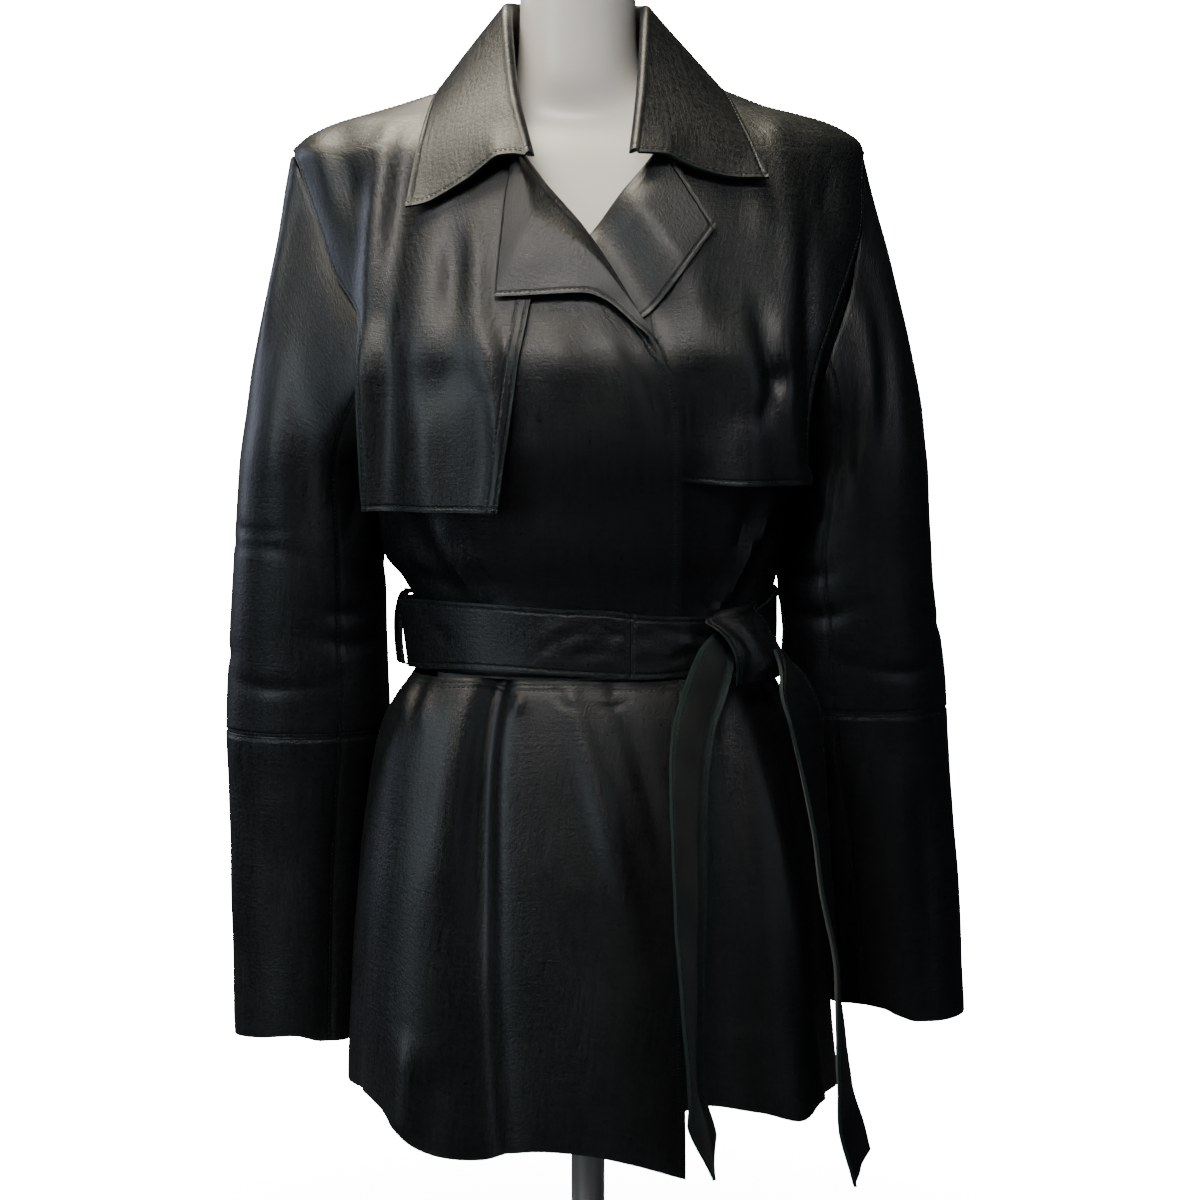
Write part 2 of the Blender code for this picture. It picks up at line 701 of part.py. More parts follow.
def lapel_point(side, down, across):
    """A point of the turned-back facing: down the roll line, across to its edge."""
    sign = -1 if side == "right" else 1
    roll_z = GORGE_Z[side] + (BREAK_Z - GORGE_Z[side]) * down
    roll_x = read(FRONT_EDGE, roll_z)[0] * -sign
    edge_x, edge_z = read(LAPEL[side], down)
    x = roll_x + (edge_x - roll_x) * across
    z = roll_z + (edge_z - roll_z) * across
    lift, free, covered = read(LAPEL_LIFT, across)
    if side == "left":
        lift = free + (covered - free) * tuck(x, z)
    return lifted(bodice_bare, angle_at(BODICE, z, x), z, lift)


def lapel(side):
    rows = []
    for i in range(9):
        down = 0.97 * i / 8
        row = [lapel_point(side, down, across) for across in (0.0, 0.1, 0.3, 0.65, 1.0)]
        rows.append(row if side == "right" else row[::-1])
    sheet("lapel_" + side, [rows])


def collar_profile(side, along):
    """The section of the collar: up the stand, over the fold and down the leaf."""
    sign = -1 if side == "right" else 1
    x, y, z, edge_x, edge_y, edge_z, neck_angle, neck_z = read(COLLAR[side], along)
    roll = Vector((sign * x, y, z))
    edge = Vector((sign * edge_x, edge_y, edge_z))
    seam = bodice_bare(sign * neck_angle, neck_z)
    centre = Vector((FORM_NECK_X, RIDGE_Y, 0.0))
    inward = centre - seam
    inward.z = 0.0
    seam += inward.normalized() * COLLAR_INSIDE
    out = edge - seam
    out.z = 0.0
    out.normalize()
    down = Vector((0.0, 0.0, -COLLAR_ROLL))
    stand_top = roll - out * COLLAR_ROLL + down
    leaf_top = roll + out * COLLAR_ROLL + down
    fall = edge - leaf_top
    puff = out * COLLAR_PUFF * fall.length
    return [
        seam,
        seam.lerp(stand_top, 0.5),
        stand_top,
        roll,
        leaf_top,
        leaf_top.lerp(edge, 0.33) + puff * 0.9,
        leaf_top.lerp(edge, 0.66) + puff * 0.7,
        edge,
    ]


def collar():
    stations = [i / 8 for i in range(9)]
    right = [collar_profile("right", along) for along in stations]
    left = [collar_profile("left", along) for along in reversed(stations[:-1])]
    sheet("collar", [right + left], BAND)


# ---------------------------------------------------------------- skirt
def skirt_point(piece, along, down, lift=0.0):
    """A point of a skirt piece: along from its side seam, down from the waist."""
    hem_z = read(HEM[piece], along)[0]
    top_z = WAIST_Z - SEAM
    z = top_z + (hem_z - top_z) * down
    gap = math.degrees(0.5 * SEAM / SKIRT_REACH)
    if piece == "back":
        angle = 90 + gap + (180 - 2 * gap) * along
    else:
        sign = -1 if piece == "right" else 1
        edge_x = SKIRT_EDGE_X[piece]
        edge_angle = angle_at(SKIRT, z, edge_x)
        side_angle = sign * (90 - gap)
        angle = side_angle + (edge_angle - side_angle) * along
    if piece == "left":
        lift -= SKIRT_TUCK * tuck(skirt_bare(angle, z).x, z)
    return lifted(skirt_bare, angle, z, lift)


def skirt(piece):
    columns = COLUMNS["skirt_" + piece]
    levels = [0.0, 0.05, 0.12, 0.24, 0.39, 0.54, 0.69, 0.85, 1.0]
    rows = []
    for down in reversed(levels):
        row = [skirt_point(piece, i / columns, down) for i in range(columns + 1)]
        rows.append(row[::-1] if piece == "left" else row)
    sheet("skirt_" + piece, [rows])


# ---------------------------------------------------------------- sleeves
def sleeve_ring(side, z, turn):
    """A point of the sleeve's tube: turn 0 is its outermost line, 90 its front."""
    sign = -1 if side == "right" else 1
    x, y, half_width, half_depth = read(SLEEVE[side], z)
    across, along = math.cos(math.radians(turn)), math.sin(math.radians(turn))
    power = 2 / SLEEVE_SQUARE
    across = math.copysign(abs(across) ** power, across)
    along = math.copysign(abs(along) ** power, along)
    return Vector((x + sign * half_width * across, y - half_depth * along, z))


def sleeve_bare(side, level, turn):
    """Level 0 is the armhole, 1 the top of the tube, 2 the elbow and 3 the cuff."""
    if level >= 1.0:
        cuff_z = SLEEVE[side][0][0]
        elbow_z = ELBOW_Z[side]
        if level <= 2.0:
            z = SLEEVE_HEAD_Z + (elbow_z - SLEEVE_HEAD_Z) * (level - 1)
        else:
            z = elbow_z + (cuff_z - elbow_z) * (level - 2)
        return sleeve_ring(side, z, turn)
    sign = -1 if side == "right" else 1
    turn = turn % 360
    cosine, sine = math.cos(math.radians(turn)), math.sin(math.radians(turn))
    top_z, low_z = ARMHOLE[-1][0], UNDERARM_Z
    z = 0.5 * (top_z + low_z) + 0.5 * (top_z - low_z) * cosine
    start = bodice_bare(sign * armhole_angle(side, z, back=turn > 180), z)
    start.x += sign * ARMHOLE_GAP
    end = sleeve_ring(side, SLEEVE_HEAD_Z, turn)
    span = (end - start).length
    outward = 0.5 * SLEEVE_DROP[side] * (1 + cosine) + SLEEVE_FULL * sine * sine
    leave = Vector((sign * outward, -SLEEVE_FORWARD * sine, -1.0)).normalized() * span
    arrive = sleeve_ring(side, SLEEVE_HEAD_Z - 0.02, turn) - end
    arrive = arrive.normalized() * span
    t = level
    return (
        start * (1 + 2 * t) * (1 - t) ** 2
        + leave * t * (1 - t) ** 2
        + end * t * t * (3 - 2 * t)
        - arrive * t * t * (1 - t)
    )


def sleeve_piece(name, side, levels, first, last):
    columns = COLUMNS[name.split("_sleeve")[0] + "_sleeve"]
    gap = math.degrees(0.5 * SEAM / SLEEVE_REACH)
    rows = []
    for level in reversed(levels):
        row = [
            sleeve_bare(side, level, first + gap + (last - first - 2 * gap) * i / columns)
            for i in range(columns + 1)
        ]
        rows.append(row if side == "left" else row[::-1])
    sheet(name, [rows])


def sleeve(side):
    gap = 0.5 * SEAM / (SLEEVE_HEAD_Z - ELBOW_Z[side])
    upper = [0.0, 0.16, 0.34, 0.55, 0.78, 1.0, 1.25, 1.5, 1.75, 2.0 - gap]
    lower = [2.0 + gap, 2.2, 2.4, 2.6, 2.8, 3.0]
    front, back = SLEEVE_FRONT_SEAM, SLEEVE_BACK_SEAM
    for part, levels in (("upper", upper), ("lower", lower)):
        sleeve_piece(f"top_sleeve_{part}_{side}", side, levels, back - 360, front)
        sleeve_piece(f"under_sleeve_{part}_{side}", side, levels, front, back)


# ---------------------------------------------------------------- belt
def belt_point(angle, across, lift=BELT_LIFT):
    middle_z, width = read(BELT_MIDDLE, angle)
    point = lifted(bodice_bare, angle, BELT_SIZE_Z, lift)
    point.z = middle_z + width * across
    return point


def belt_length(length, first):
    name = "belt_" + length
    columns = COLUMNS[name]
    last = BELT_END[length]
    rows = []
    for across in (-0.5, 0.0, 0.5):
        row = [
            belt_point(first + (last - first) * i / columns, across)
            for i in range(columns + 1)
        ]
        rows.append(row if last > first else row[::-1])
    sheet(name, [rows], BAND)


def ribbon(name, table, stations, thickness=BAND):
    """A hanging strip: its middle line, and how far it is turned from facing front."""
    rows = []
    for i in range(stations + 1):
        x, y, z, turn, width = read(table, i / stations)
        half = 0.5 * width
        turn = math.radians(turn)
        side = Vector((math.cos(turn), math.sin(turn), 0.0)) * half
        middle = Vector((x, y, z))
        rows.append([middle - side, middle, middle + side])
    sheet(name, [rows[::-1]], thickness)


def belt_loop(side):
    sign = -1 if side == "right" else 1
    reach = read(BODICE, BELT_SIZE_Z)[0 if side == "right" else 1]
    rows = []
    for i in range(8):
        out, z = read(LOOP, i / 7)
        own = read(BODICE, z)[0 if side == "right" else 1]
        x = sign * max(reach + out * LOOP_SHARE[side], own + LOOP[0][1])
        ends = [Vector((x, RIDGE_Y + k * 0.5 * LOOP_WIDTH, z)) for k in (-1, 0, 1)]
        rows.append(ends if side == "left" else ends[::-1])
    sheet("belt_loop_" + side, [rows[::-1]])


def knot():
    facing = math.radians(KNOT_FACES)
    out = Vector((math.sin(facing), -math.cos(facing), 0.0))
    along = Vector((math.cos(facing), math.sin(facing), 0.0))
    rings = []
    for z, x, y, half_width, half_depth in KNOT:
        ring = []
        for i in range(KNOT_SIDES):
            turn = 2 * math.pi * i / KNOT_SIDES
            across = math.copysign(abs(math.cos(turn)) ** KNOT_SQUARE, math.cos(turn))
            deep = math.copysign(abs(math.sin(turn)) ** KNOT_SQUARE, math.sin(turn))
            ring.append(Vector((x, y, z)) + along * half_width * across + out * half_depth * deep)
        rings.append(ring)
    solid("belt_knot", rings, leather())


# ---------------------------------------------------------------- form and stand
def dress_form():
    shell = material("form_shell", (0.86, 0.84, 0.80), 0.18)
    rings = []
    for row in FORM:
        z, sizes = row[0], row[1:]
        middle_x = FORM_NECK_X * blend(*FORM_NECK_Z, z)
        ring = []
        for i in range(FORM_SIDES):
            point = ring_point(sizes, RIDGE_Y, 360 * i / FORM_SIDES, z)
            point.x += middle_x
            ring.append(point)
        rings.append(ring)
    solid("dress_form", rings, shell)


def cylinder(name, radius, low_z, high_z, finish, sides, edge=0.0):
    middle = (0.0, 0.0, 0.5 * (low_z + high_z))
    bpy.ops.mesh.primitive_cylinder_add(
        vertices=sides, radius=radius, depth=high_z - low_z, location=middle
    )
    made = bpy.context.object
    made.name = name
    made.data.name = name
    made.data.materials.append(finish)
    for other in list(made.users_collection):
        other.objects.unlink(made)
    COLLECTION.objects.link(made)
    if edge:
        rounding = made.modifiers.new("Rounded", "BEVEL")
        rounding.width = edge
        rounding.segments = 1
        rounding.limit_method = "ANGLE"
    return made


def stand():
    metal = material("stand_metal", (0.62, 0.62, 0.61), 0.28, 1.0)
    form_z = FORM[0][0] - STAND_CLEAR
    socket_z = FORM[0][0] - SOCKET_HEIGHT
    pole_z = BASE_HEIGHT + STAND_CLEAR
    cylinder("stand_base", BASE_RADIUS, 0.0, BASE_HEIGHT, metal, 36, BASE_EDGE)
    cylinder("stand_pole", POLE_RADIUS, pole_z, socket_z - STAND_CLEAR, metal, 24)
    cylinder("stand_socket", SOCKET_RADIUS, socket_z, form_z, metal, 32, SOCKET_EDGE)


# ---------------------------------------------------------------- start
for old in list(bpy.data.objects):
    bpy.data.objects.remove(old, do_unlink=True)
COLLECTION = bpy.data.collections.new("leather_wrap_jacket")
bpy.context.scene.collection.children.link(COLLECTION)

for wearer_side in ("right", "left"):
    front_panel(wearer_side)
    flap(wearer_side)
    lapel(wearer_side)
    sleeve(wearer_side)
    belt_loop(wearer_side)
back_panel()
collar()
skirt("right")
skirt("left")
skirt("back")
belt_length("long", BELT_JOIN - BELT_JOIN_GAP)
belt_length("short", BELT_JOIN + BELT_JOIN_GAP)
knot()
ribbon("belt_tail_inner", TAILS["tail_inner"], 16)
ribbon("belt_tail_outer", TAILS["tail_outer"], 15)
dress_form()
stand()
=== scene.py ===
"""Leather wrap jacket on a dress form: the finished looks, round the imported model.

Metres, +Z up, front towards -Y, the wearer's left towards +X.  Each cloth piece is a
fine sheet on the same surface as its solid, with its creases, seams and stitches.
"""

import functools
import math

import bmesh
import bpy
import numpy as np
from bpy.props import FloatProperty, FloatVectorProperty, PointerProperty
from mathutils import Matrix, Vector, noise


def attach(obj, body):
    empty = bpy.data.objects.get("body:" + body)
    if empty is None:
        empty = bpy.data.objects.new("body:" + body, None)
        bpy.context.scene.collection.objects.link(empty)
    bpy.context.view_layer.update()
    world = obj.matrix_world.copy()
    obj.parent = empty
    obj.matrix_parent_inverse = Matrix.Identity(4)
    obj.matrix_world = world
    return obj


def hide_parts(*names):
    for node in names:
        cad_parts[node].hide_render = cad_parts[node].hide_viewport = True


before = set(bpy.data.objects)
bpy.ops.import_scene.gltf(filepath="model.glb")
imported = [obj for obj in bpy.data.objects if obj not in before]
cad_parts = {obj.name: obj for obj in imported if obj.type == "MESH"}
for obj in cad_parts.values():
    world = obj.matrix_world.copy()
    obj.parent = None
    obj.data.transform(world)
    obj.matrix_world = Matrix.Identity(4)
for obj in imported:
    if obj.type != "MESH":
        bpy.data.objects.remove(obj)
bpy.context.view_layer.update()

bl_info = {
    "name": "Leather Wrap Jacket",
    "version": (1, 0, 0),
    "blender": (4, 5, 0),
    "location": "View3D > Sidebar > Jacket",
    "description": "Builds a belted leather wrap jacket, the form that wears it and its studio",
    "category": "Object",
}

SIDES = ("right", "left")
SIGN = {"right": -1, "left": 1}
COLUMN = {"right": 0, "left": 1}    # of the tables that give both sides

# ---------------------------------------------------------------- sizes of the cut
CLOTH = 0.0014            # one thickness of leather
BAND = 0.0024             # belt and collar: two thicknesses bonded together
SEAM = 0.0005             # open line between two pieces that are sewn together
SHOULDER_SEAM = 0.0016
SKIRT_REACH = 0.13
SLEEVE_REACH = 0.055
FINE = 0.0034             # spacing of the points of a sheet

WAIST_Z = 0.479
NECK_TOP_Z = 0.9045       # last row of the bodice
NAPE_Z = 0.878
UNDERARM_Z = 0.645
ELBOW_Z = {"right": 0.428, "left": 0.445}
RIDGE_Y = 0.008
FORM_NECK_X = -0.0070

FLAP_LIFT = 0.0046
FLAP_SEWN_LIFT = 0.0024   # a flap lies close where it is sewn in at the shoulder
FLAP_SEWN_Z = (0.800, 0.862)
FLAP_TOP_Z = 0.896
FLAP_TUCK = 0.0114
FLAP_BUST_Z = 0.705
FLAP_FOLLOWS = 0.25
FLAP_STAND = 0.0090
FLAP_STAND_FROM = 0.125
FLAP_STAND_Z = (0.690, 0.735)
FLAP_NECK_GAP = 0.004
TUCK = 0.0100
TUCK_FROM = 0.0550
TUCK_TO = 0.0060


def table(units, *rows):
    """Rows of numbers, each column in millimetres (m) or plain (n)."""
    return np.array(rows) / [1000.0 if unit == "m" else 1.0 for unit in units]


def tables(units, **named):
    return {name: table(units, *rows) for name, rows in named.items()}


# The bodice: reach of each ring to the wearer's right and left, to the front and back.
BODICE = table(
    "mmmmmn",  # z, right, left, front, back, squareness
    (470, 128, 133, 100, 88, 2.2),
    (515, 124, 133, 99, 88, 2.2),
    (543, 135, 138.5, 104, 93, 2.2),
    (562, 149.5, 143, 112, 100, 2.3),
    (600, 154.5, 149.5, 121, 110, 2.4),
    (645, 158, 156, 132, 120, 2.5),
    (695, 176, 182, 134.5, 128, 2.5),
    (745, 188, 200, 118.5, 131, 2.4),
    (795, 198, 203, 101.5, 125, 2.3),
    (826, 206, 202, 89.5, 112, 2.2),
    (850, 213.5, 199, 77, 96, 2.2),
    (858, 207, 196.5, 70, 88, 2.2),
    (866, 195, 186, 60, 78, 2.2),
    (873, 180, 171, 50, 67, 2.2),
    (878, 161, 153, 42, 59, 2.2),
    (884, 140, 129, 32, 48, 2.2),
    (891, 119, 111, 22, 36, 2.2),
    (898, 98, 94, 13, 24, 2.2),
    (906, 77, 76, 6, 10, 2.2),
)

# The skirt, whose widest line lies a little forward of the middle.
SKIRT = table(
    "mmmmmn",  # z, right, left, front, back, squareness
    (110, 180, 190, 119, 142, 2.2),
    (170, 179.5, 187, 117, 140, 2.2),
    (230, 177, 181, 112.5, 136, 2.2),
    (300, 172, 176, 105.5, 130, 2.2),
    (360, 165.5, 170, 98, 126, 2.2),
    (415, 156.5, 161, 88.5, 122, 2.2),
    (445, 148, 153.5, 82, 120, 2.2),
    (463, 138, 143, 77, 119, 2.2),
    (475, 129, 134, 72.5, 118, 2.2),
    (482, 125.5, 132.5, 70.5, 117, 2.2),
)

SKIRT_MIDDLE_Y = -0.022
SKIRT_EDGE_X = {"right": 0.0695, "left": -0.020}
SKIRT_TUCK = 0.0060       # the under skirt front below the top one
SKIRT_COLUMNS = {"right": 96, "left": 76, "back": 150}

# Folds of the skirt run from the waist to the hem; a minus depth is a valley.
SKIRT_FOLDS = table(
    "nnnmm",  # waist angle, hem angle, half width, depth at waist, depth at hem
    (-49, -35, 7.5, -10.5, -15.5),
    (-64, -55, 13, 4, 10),
    (-80, -78, 9, 0, -6),
    (10, 16, 15, 0, 5),
    (44, 42, 9, 0, -10),
    (61, 60, 9, 2, 12),
    (79, 78, 8, 0, -7),
    (104, 103, 12, 0, -7),
    (118, 119, 9, 0, 6),
    (134, 135, 9, -1, -12),
    (155, 156, 10, 0, 9),
    (178, 180, 9, 0, -10),
    (203, 202, 10, 0, 10),
    (226, 226, 9, -1, -11),
    (242, 242, 9, 0, 6),
    (256, 257, 12, 0, -7),
)

# Hem heights, along each piece from its side seam to its front edge.
HEM = tables(
    "nm",  # along, z
    right=(
        (0, 177), (0.08, 178), (0.18, 180), (0.24, 175), (0.28, 163), (0.31, 153), (0.36, 145),
        (0.43, 141), (0.52, 149), (0.61, 152), (0.74, 150), (0.86, 144), (1, 131),
    ),
    left=(
        (0, 173), (0.2, 174), (0.3, 166), (0.38, 174), (0.5, 179), (0.7, 170), (1, 165),
    ),
    back=(
        (0, 172), (0.2, 180), (0.35, 170), (0.5, 176), (0.66, 168), (0.84, 178), (1, 172),
    ),
)

# Front edge of the top front: straight, round the break, up the roll line, round the neck.
FRONT_EDGE = table(
    "mm",  # z, x
    (470, 66.5), (600, 66.5), (662, 65.5), (688, 60.5), (711, 47), (730, 37.5), (789, 0.5), (838, -40),
    (862, -57), (886, -70), (906, -76.8),
)

# Back of the neck seam, from the nape to the neck point.
NAPE_EDGE = table(
    "mm",  # z, x
    (878, 0), (880, 25), (885, 45), (893, 61), (906, 75.5),
)

# Front of the armhole seam.
ARMHOLE = table(
    "mmm",  # z, right x, left x
    (645, 158, 156), (652, 153, 155), (675, 150, 162), (700, 151, 170), (728, 159, 180), (766, 179, 190),
    (800, 192, 195), (826, 202, 197.5), (842, 209, 198.2), (850, 213, 198.5),
)

ARMHOLE_BACK_WIDER = 0.004

# Storm flaps: inner and outer edge.
FLAP = tables(
    "mmm",  # z, inner x, outer x
    right=(
        (598, 60, 146.5), (606, 59, 146.8), (660, 52, 148), (700, 47, 149.5), (728, 41.5, 154.5),
        (766, 36, 177), (800, 39, 188.5), (838, 48, 203), (862, 62, 212), (886, 75, 212),
    ),
    left=(
        (616, 58, 154.5), (660, 56, 156), (700, 48, 160), (728, 38, 169), (766, 33, 183), (800, 35, 193),
        (838, 48, 196), (862, 62, 199), (886, 75, 199),
    ),
)

# Sleeves below the underarm.
SLEEVE = tables(
    "mmmmm",  # z, x, y, half width, half depth
    right=(
        (196, -216.5, 50, 51, 52),
        (240, -216, 50, 51.5, 53),
        (300, -215, 48, 53, 55),
        (380, -212, 42, 56.5, 57),
        (428, -210, 36, 60, 58),
        (500, -208.5, 28, 57.5, 59),
        (560, -206.5, 20, 54, 60),
        (620, -206, 12, 48.7, 61),
    ),
    left=(
        (214, 232.5, 50, 52, 52),
        (240, 230.5, 50, 52.5, 53),
        (300, 224.5, 48, 54.5, 55),
        (380, 215.5, 42, 56, 57),
        (445, 208.5, 35, 59, 58),
        (500, 204, 28, 57.5, 59),
        (560, 197.8, 20, 56.2, 60),
        (620, 200.5, 12, 48.7, 61),
    ),
)

SLEEVE_COLUMNS = {"top": 72, "under": 40}
SLEEVE_SQUARE = 2.15
SLEEVE_HEAD_Z = 0.620     # the tube of the sleeve begins here
SLEEVE_FRONT_SEAM = 118   # degrees round from the outermost line, by the front
SLEEVE_BACK_SEAM = 238
ARMHOLE_GAP = 0.0009      # the sleeve starts this far outside the armhole's edge
SLEEVE_DROP = {"right": 0.15, "left": 0.24}   # how far it leans out as it leaves
SLEEVE_FULL = 0.40        # and how far its front and back swell as they leave
SLEEVE_FORWARD = 0.08

# Cuffs aren't level.
CUFF = tables(
    "nm",  # degrees round from the outermost line, rise
    right=(
        (-180, 8), (-130, 1), (-70, 4), (-30, -1), (0, -1.6), (56, 2.2), (88, 5.2), (108, 0.6), (128, 0),
        (150, 4), (180, 8), (230, 1),
    ),
    left=(
        (-180, 7.5), (-130, 1), (-80, 4.5), (-30, 0), (0, -1.5), (57, -3), (79, -1.8), (92, 3.4),
        (101, 8), (117, 9.6), (145, 8), (180, 7.5), (230, 1),
    ),
)

CUFF_FADES = 0.10         # above the cuff, where the wave of its edge dies out

# Lapels, down the roll line: outer edge of the turned-back front.
LAPEL = tables(
    "nmm",  # down, x, z
    right=(
        (0, -52.5, 834), (0.06, -57, 812.5), (0.13, -59.6, 785), (0.2, -63, 743.5), (0.45, -4, 746.2),
        (0.78, 34.5, 722.2), (0.97, 47.5, 710.5),
    ),
    left=(
        (0, 88.5, 793), (0.45, 38.5, 733.5), (0.75, -5, 715), (0.97, -45, 711),
    ),
)

LAPEL_CORNER = 0.2        # its corner lies this far down the roll line
LAPEL_LAST = 0.97         # and its lower end here

LAPEL_LIFT = table(
    "nmmm",  # across, right, left where free, left where the top front covers it
    (0, 2.2, 2.2, -7.8), (0.1, 7, 6, -4.6), (0.3, 11.5, 8.5, -3.4), (1, 10, 8.5, -3.4),
)

GORGE_Z = {"right": 0.848, "left": 0.853}
BREAK_Z = 0.7130
BREAK_SOFT = 0.02         # height over which the front slips under the roll
FOLLOWS_Z = (FLAP_BUST_Z - 0.02, FLAP_BUST_Z + 0.03)   # the front shows its flap's creases
ROLL_HIDES = 0.0040       # the front ends this far inside the roll of its lapel
ROLL_RADIUS = 0.0044
ROLL_SHARE = 0.35         # but no more than this share of the lapel's width
ROLL_WIDE = 1.15          # it is a little wider than it is deep
ROLL_TURNS = (-80, -55, -30, -5, 20, 45, 70)   # stations round the roll, in degrees

# Collar, from its front end to the centre back.
COLLAR = tables(
    "nmmmmmmnm",  # along, roll x, y, z, edge x, y, z, neck angle, neck z
    right=(
        (0, 40.7, -94, 846, 126.2, -87, 808.5, 35, 848),
        (0.24, 53, -60, 896, 117, -60, 858, 43.7, 865),
        (0.48, 58.5, -16, 953, 106, -8, 895, 75, 890),
        (0.57, 58.2, 4, 958, 104.5, 16, 896.5, 90, 906.5),
        (0.66, 55, 22, 960, 101.5, 40, 891.5, 103, 899),
        (0.84, 38, 52, 962, 70, 86, 874, 133, 885.5),
        (1, 7, 63, 963, 0, 98, 870, 180, 878),
    ),
    left=(
        (0, 33.5, -94, 848, 126.6, -80, 829, 31, 852),
        (0.24, 39.2, -61, 896, 112, -56, 863, 43.7, 865),
        (0.48, 42.5, -16, 952, 96.5, -8, 894, 75, 890),
        (0.57, 42.5, 4, 956, 95, 16, 894, 90, 906.5),
        (0.66, 40.5, 22, 958, 93, 40, 889, 103, 899),
        (0.84, 24, 52, 962, 70, 86, 874, 133, 885.5),
        (1, -7, 63, 963, 0, 98, 870, 180, 878),
    ),
)

# The front end of each leaf isn't cut straight.
COLLAR_END = tables(
    "nm",  # from fold to corner, rise
    right=(
        (0, 0), (0.2, 7.2), (0.44, 0.4), (0.8, -3.8), (1, 0),
    ),
    left=(
        (0, 0), (0.2, 2.2), (0.38, -3), (0.65, -5.2), (1, 0),
    ),
)

COLLAR_INSIDE = 0.0048    # the stand starts this far inside the neck seam
COLLAR_PUFF = 0.015       # how far the leaf bows out, of its width
COLLAR_ROLL = 0.0024      # radius of the fold at the top
COLLAR_CORNER = 0.16      # share of its length over which its end is shaped
COLLAR_STATIONS = (0.10, 0.20, 0.32, 0.44, 0.55, 0.66, 0.80, 0.90, 1.0)   # down its leaf

# Belt: height of its middle round the waist, and its width.
BELT_MIDDLE = table(
    "nmm",  # angle, z, width
    (-298, 502, 40), (-270, 513, 47), (-180, 510, 48), (-110, 504, 49), (-90, 503, 49), (-70, 505.8, 50),
    (-42, 508, 47), (-12, 505.5, 46.5), (6, 504, 47.5), (28, 501.2, 44), (57, 502, 38),
)

BELT_LIFT = 0.0066
BELT_SIZE_Z = 0.515       # it follows the ring of the bodice at this height
BELT_FLARE = (0.0060, 0.0035)   # at the right side seam it stands off, more at its top
BELT_FLARE_ANGLE = (-90, 22)    # middle and half width of that
BELT_JOIN = 17            # angle of the seam that joins the belt's two lengths
BELT_JOIN_GAP = 0.15      # half of its open line, in degrees
BELT_END = {"short": 56.0, "long": -298.0}   # where the two lengths go into the knot
BELT_COLUMNS = {"short": 34, "long": 250}

LOOP = table(
    "nmm",  # down, out from the bodice, z
    (0, 2.8, 534.5), (0.1, 11.5, 532.5), (0.5, 16.8, 508), (0.88, 14.5, 480.5), (1, 6, 477.5),
)

LOOP_WIDTH = 0.014
LOOP_SHARE = {"right": 1.0, "left": 0.86}   # the left loop is pressed by the arm
LOOP_TWIST = 0.45         # a loop turns a little to the front as it leans out

# The two ends of the belt hang from the knot, turned nearly edge on.
TAILS = tables(
    "nmmmnm",  # down, x, y, z, turn, width
    tail_inner=(
        (0, 93.5, -86, 512, 50, 14),
        (0.025, 90, -91.5, 501, 50, 34),
        (0.06, 86.8, -99, 487, 45, 41),
        (0.1, 81.2, -107, 470, 46, 44),
        (0.17, 73.3, -121, 445, 54, 46),
        (0.28, 69.5, -135, 405, 61, 46),
        (0.45, 70, -148, 340, 66, 46),
        (0.65, 71.5, -156, 265, 76, 46),
        (0.82, 73.5, -160, 200, 84, 46),
        (0.92, 79, -161, 165, 66, 40),
        (1, 86, -160, 137, 70, 22),
    ),
    tail_outer=(
        (0, 135, -85, 500, 50, 8),
        (0.018, 140.5, -85, 490, 50, 16),
        (0.03, 144, -88, 484, 50, 26),
        (0.05, 147.5, -93, 472, 48, 38),
        (0.09, 153, -95, 453.5, 52, 45),
        (0.15, 157.5, -94, 430, 60, 46),
        (0.28, 163.5, -94, 385, 70, 46),
        (0.45, 170, -96, 328, 77, 46),
        (0.6, 177, -97, 275, 84, 46),
        (0.74, 180, -98, 230, 79, 46),
        (0.85, 183.2, -98, 186, 72, 46),
        (0.94, 190, -98, 152, 62, 46),
        (1, 198, -98, 121, 62, 44),
    ),
)

TAIL_SHAPE = {
    # how far it is cupped, where its edge bends out (a share of its width), by how much
    "tail_inner": (0.0022, 0.34, 50),
    "tail_outer": (0.0015, -0.42, 40),
}
TAIL_ROWS = 130

TAIL_END = tables(
    "nn",  # across, share of the length cut away
    tail_inner=(
        (0, 0.13), (0.35, 0.06), (0.74, 0), (1, 0.085),
    ),
    tail_outer=(
        (0, 0), (0.3, 0.012), (0.5, 0.022), (1, 0.03),
    ),
)

# The knot's face, from top to bottom.
KNOT_FACE = table(
    "nmmmm",  # down, left x, z, right x, z
    (0, 83, 519.5, 120, 526.2),
    (0.2, 90.5, 515, 125.2, 520.5),
    (0.4, 98.5, 506.5, 130.2, 512),
    (0.6, 103.6, 495, 135.2, 502.5),
    (0.8, 105, 485, 139.6, 492.5),
    (1, 104.8, 476.5, 139.2, 483.5),
)

KNOT_FRONT_Y = -0.0960
KNOT_RECEDES = (0.006, 0.026)  # towards its right edge, evenly and in its last part
KNOT_CURL = 0.0045        # its left raw edge lifts off the tail below it
KNOT_BOW = 0.0030
KNOT_FOLD = 0.0085        # radius of its folds over and under the belt
KNOT_FOLD_FLAT = 0.62
KNOT_FOLD_TURN = 165
KNOT_FOLD_GROWS = (0.45, 0.35)   # its share of that at the left, and where it is full
KNOT_CURL_TO = 0.32
KNOT_MAP = (0.048, 0.035)     # length and width of its face

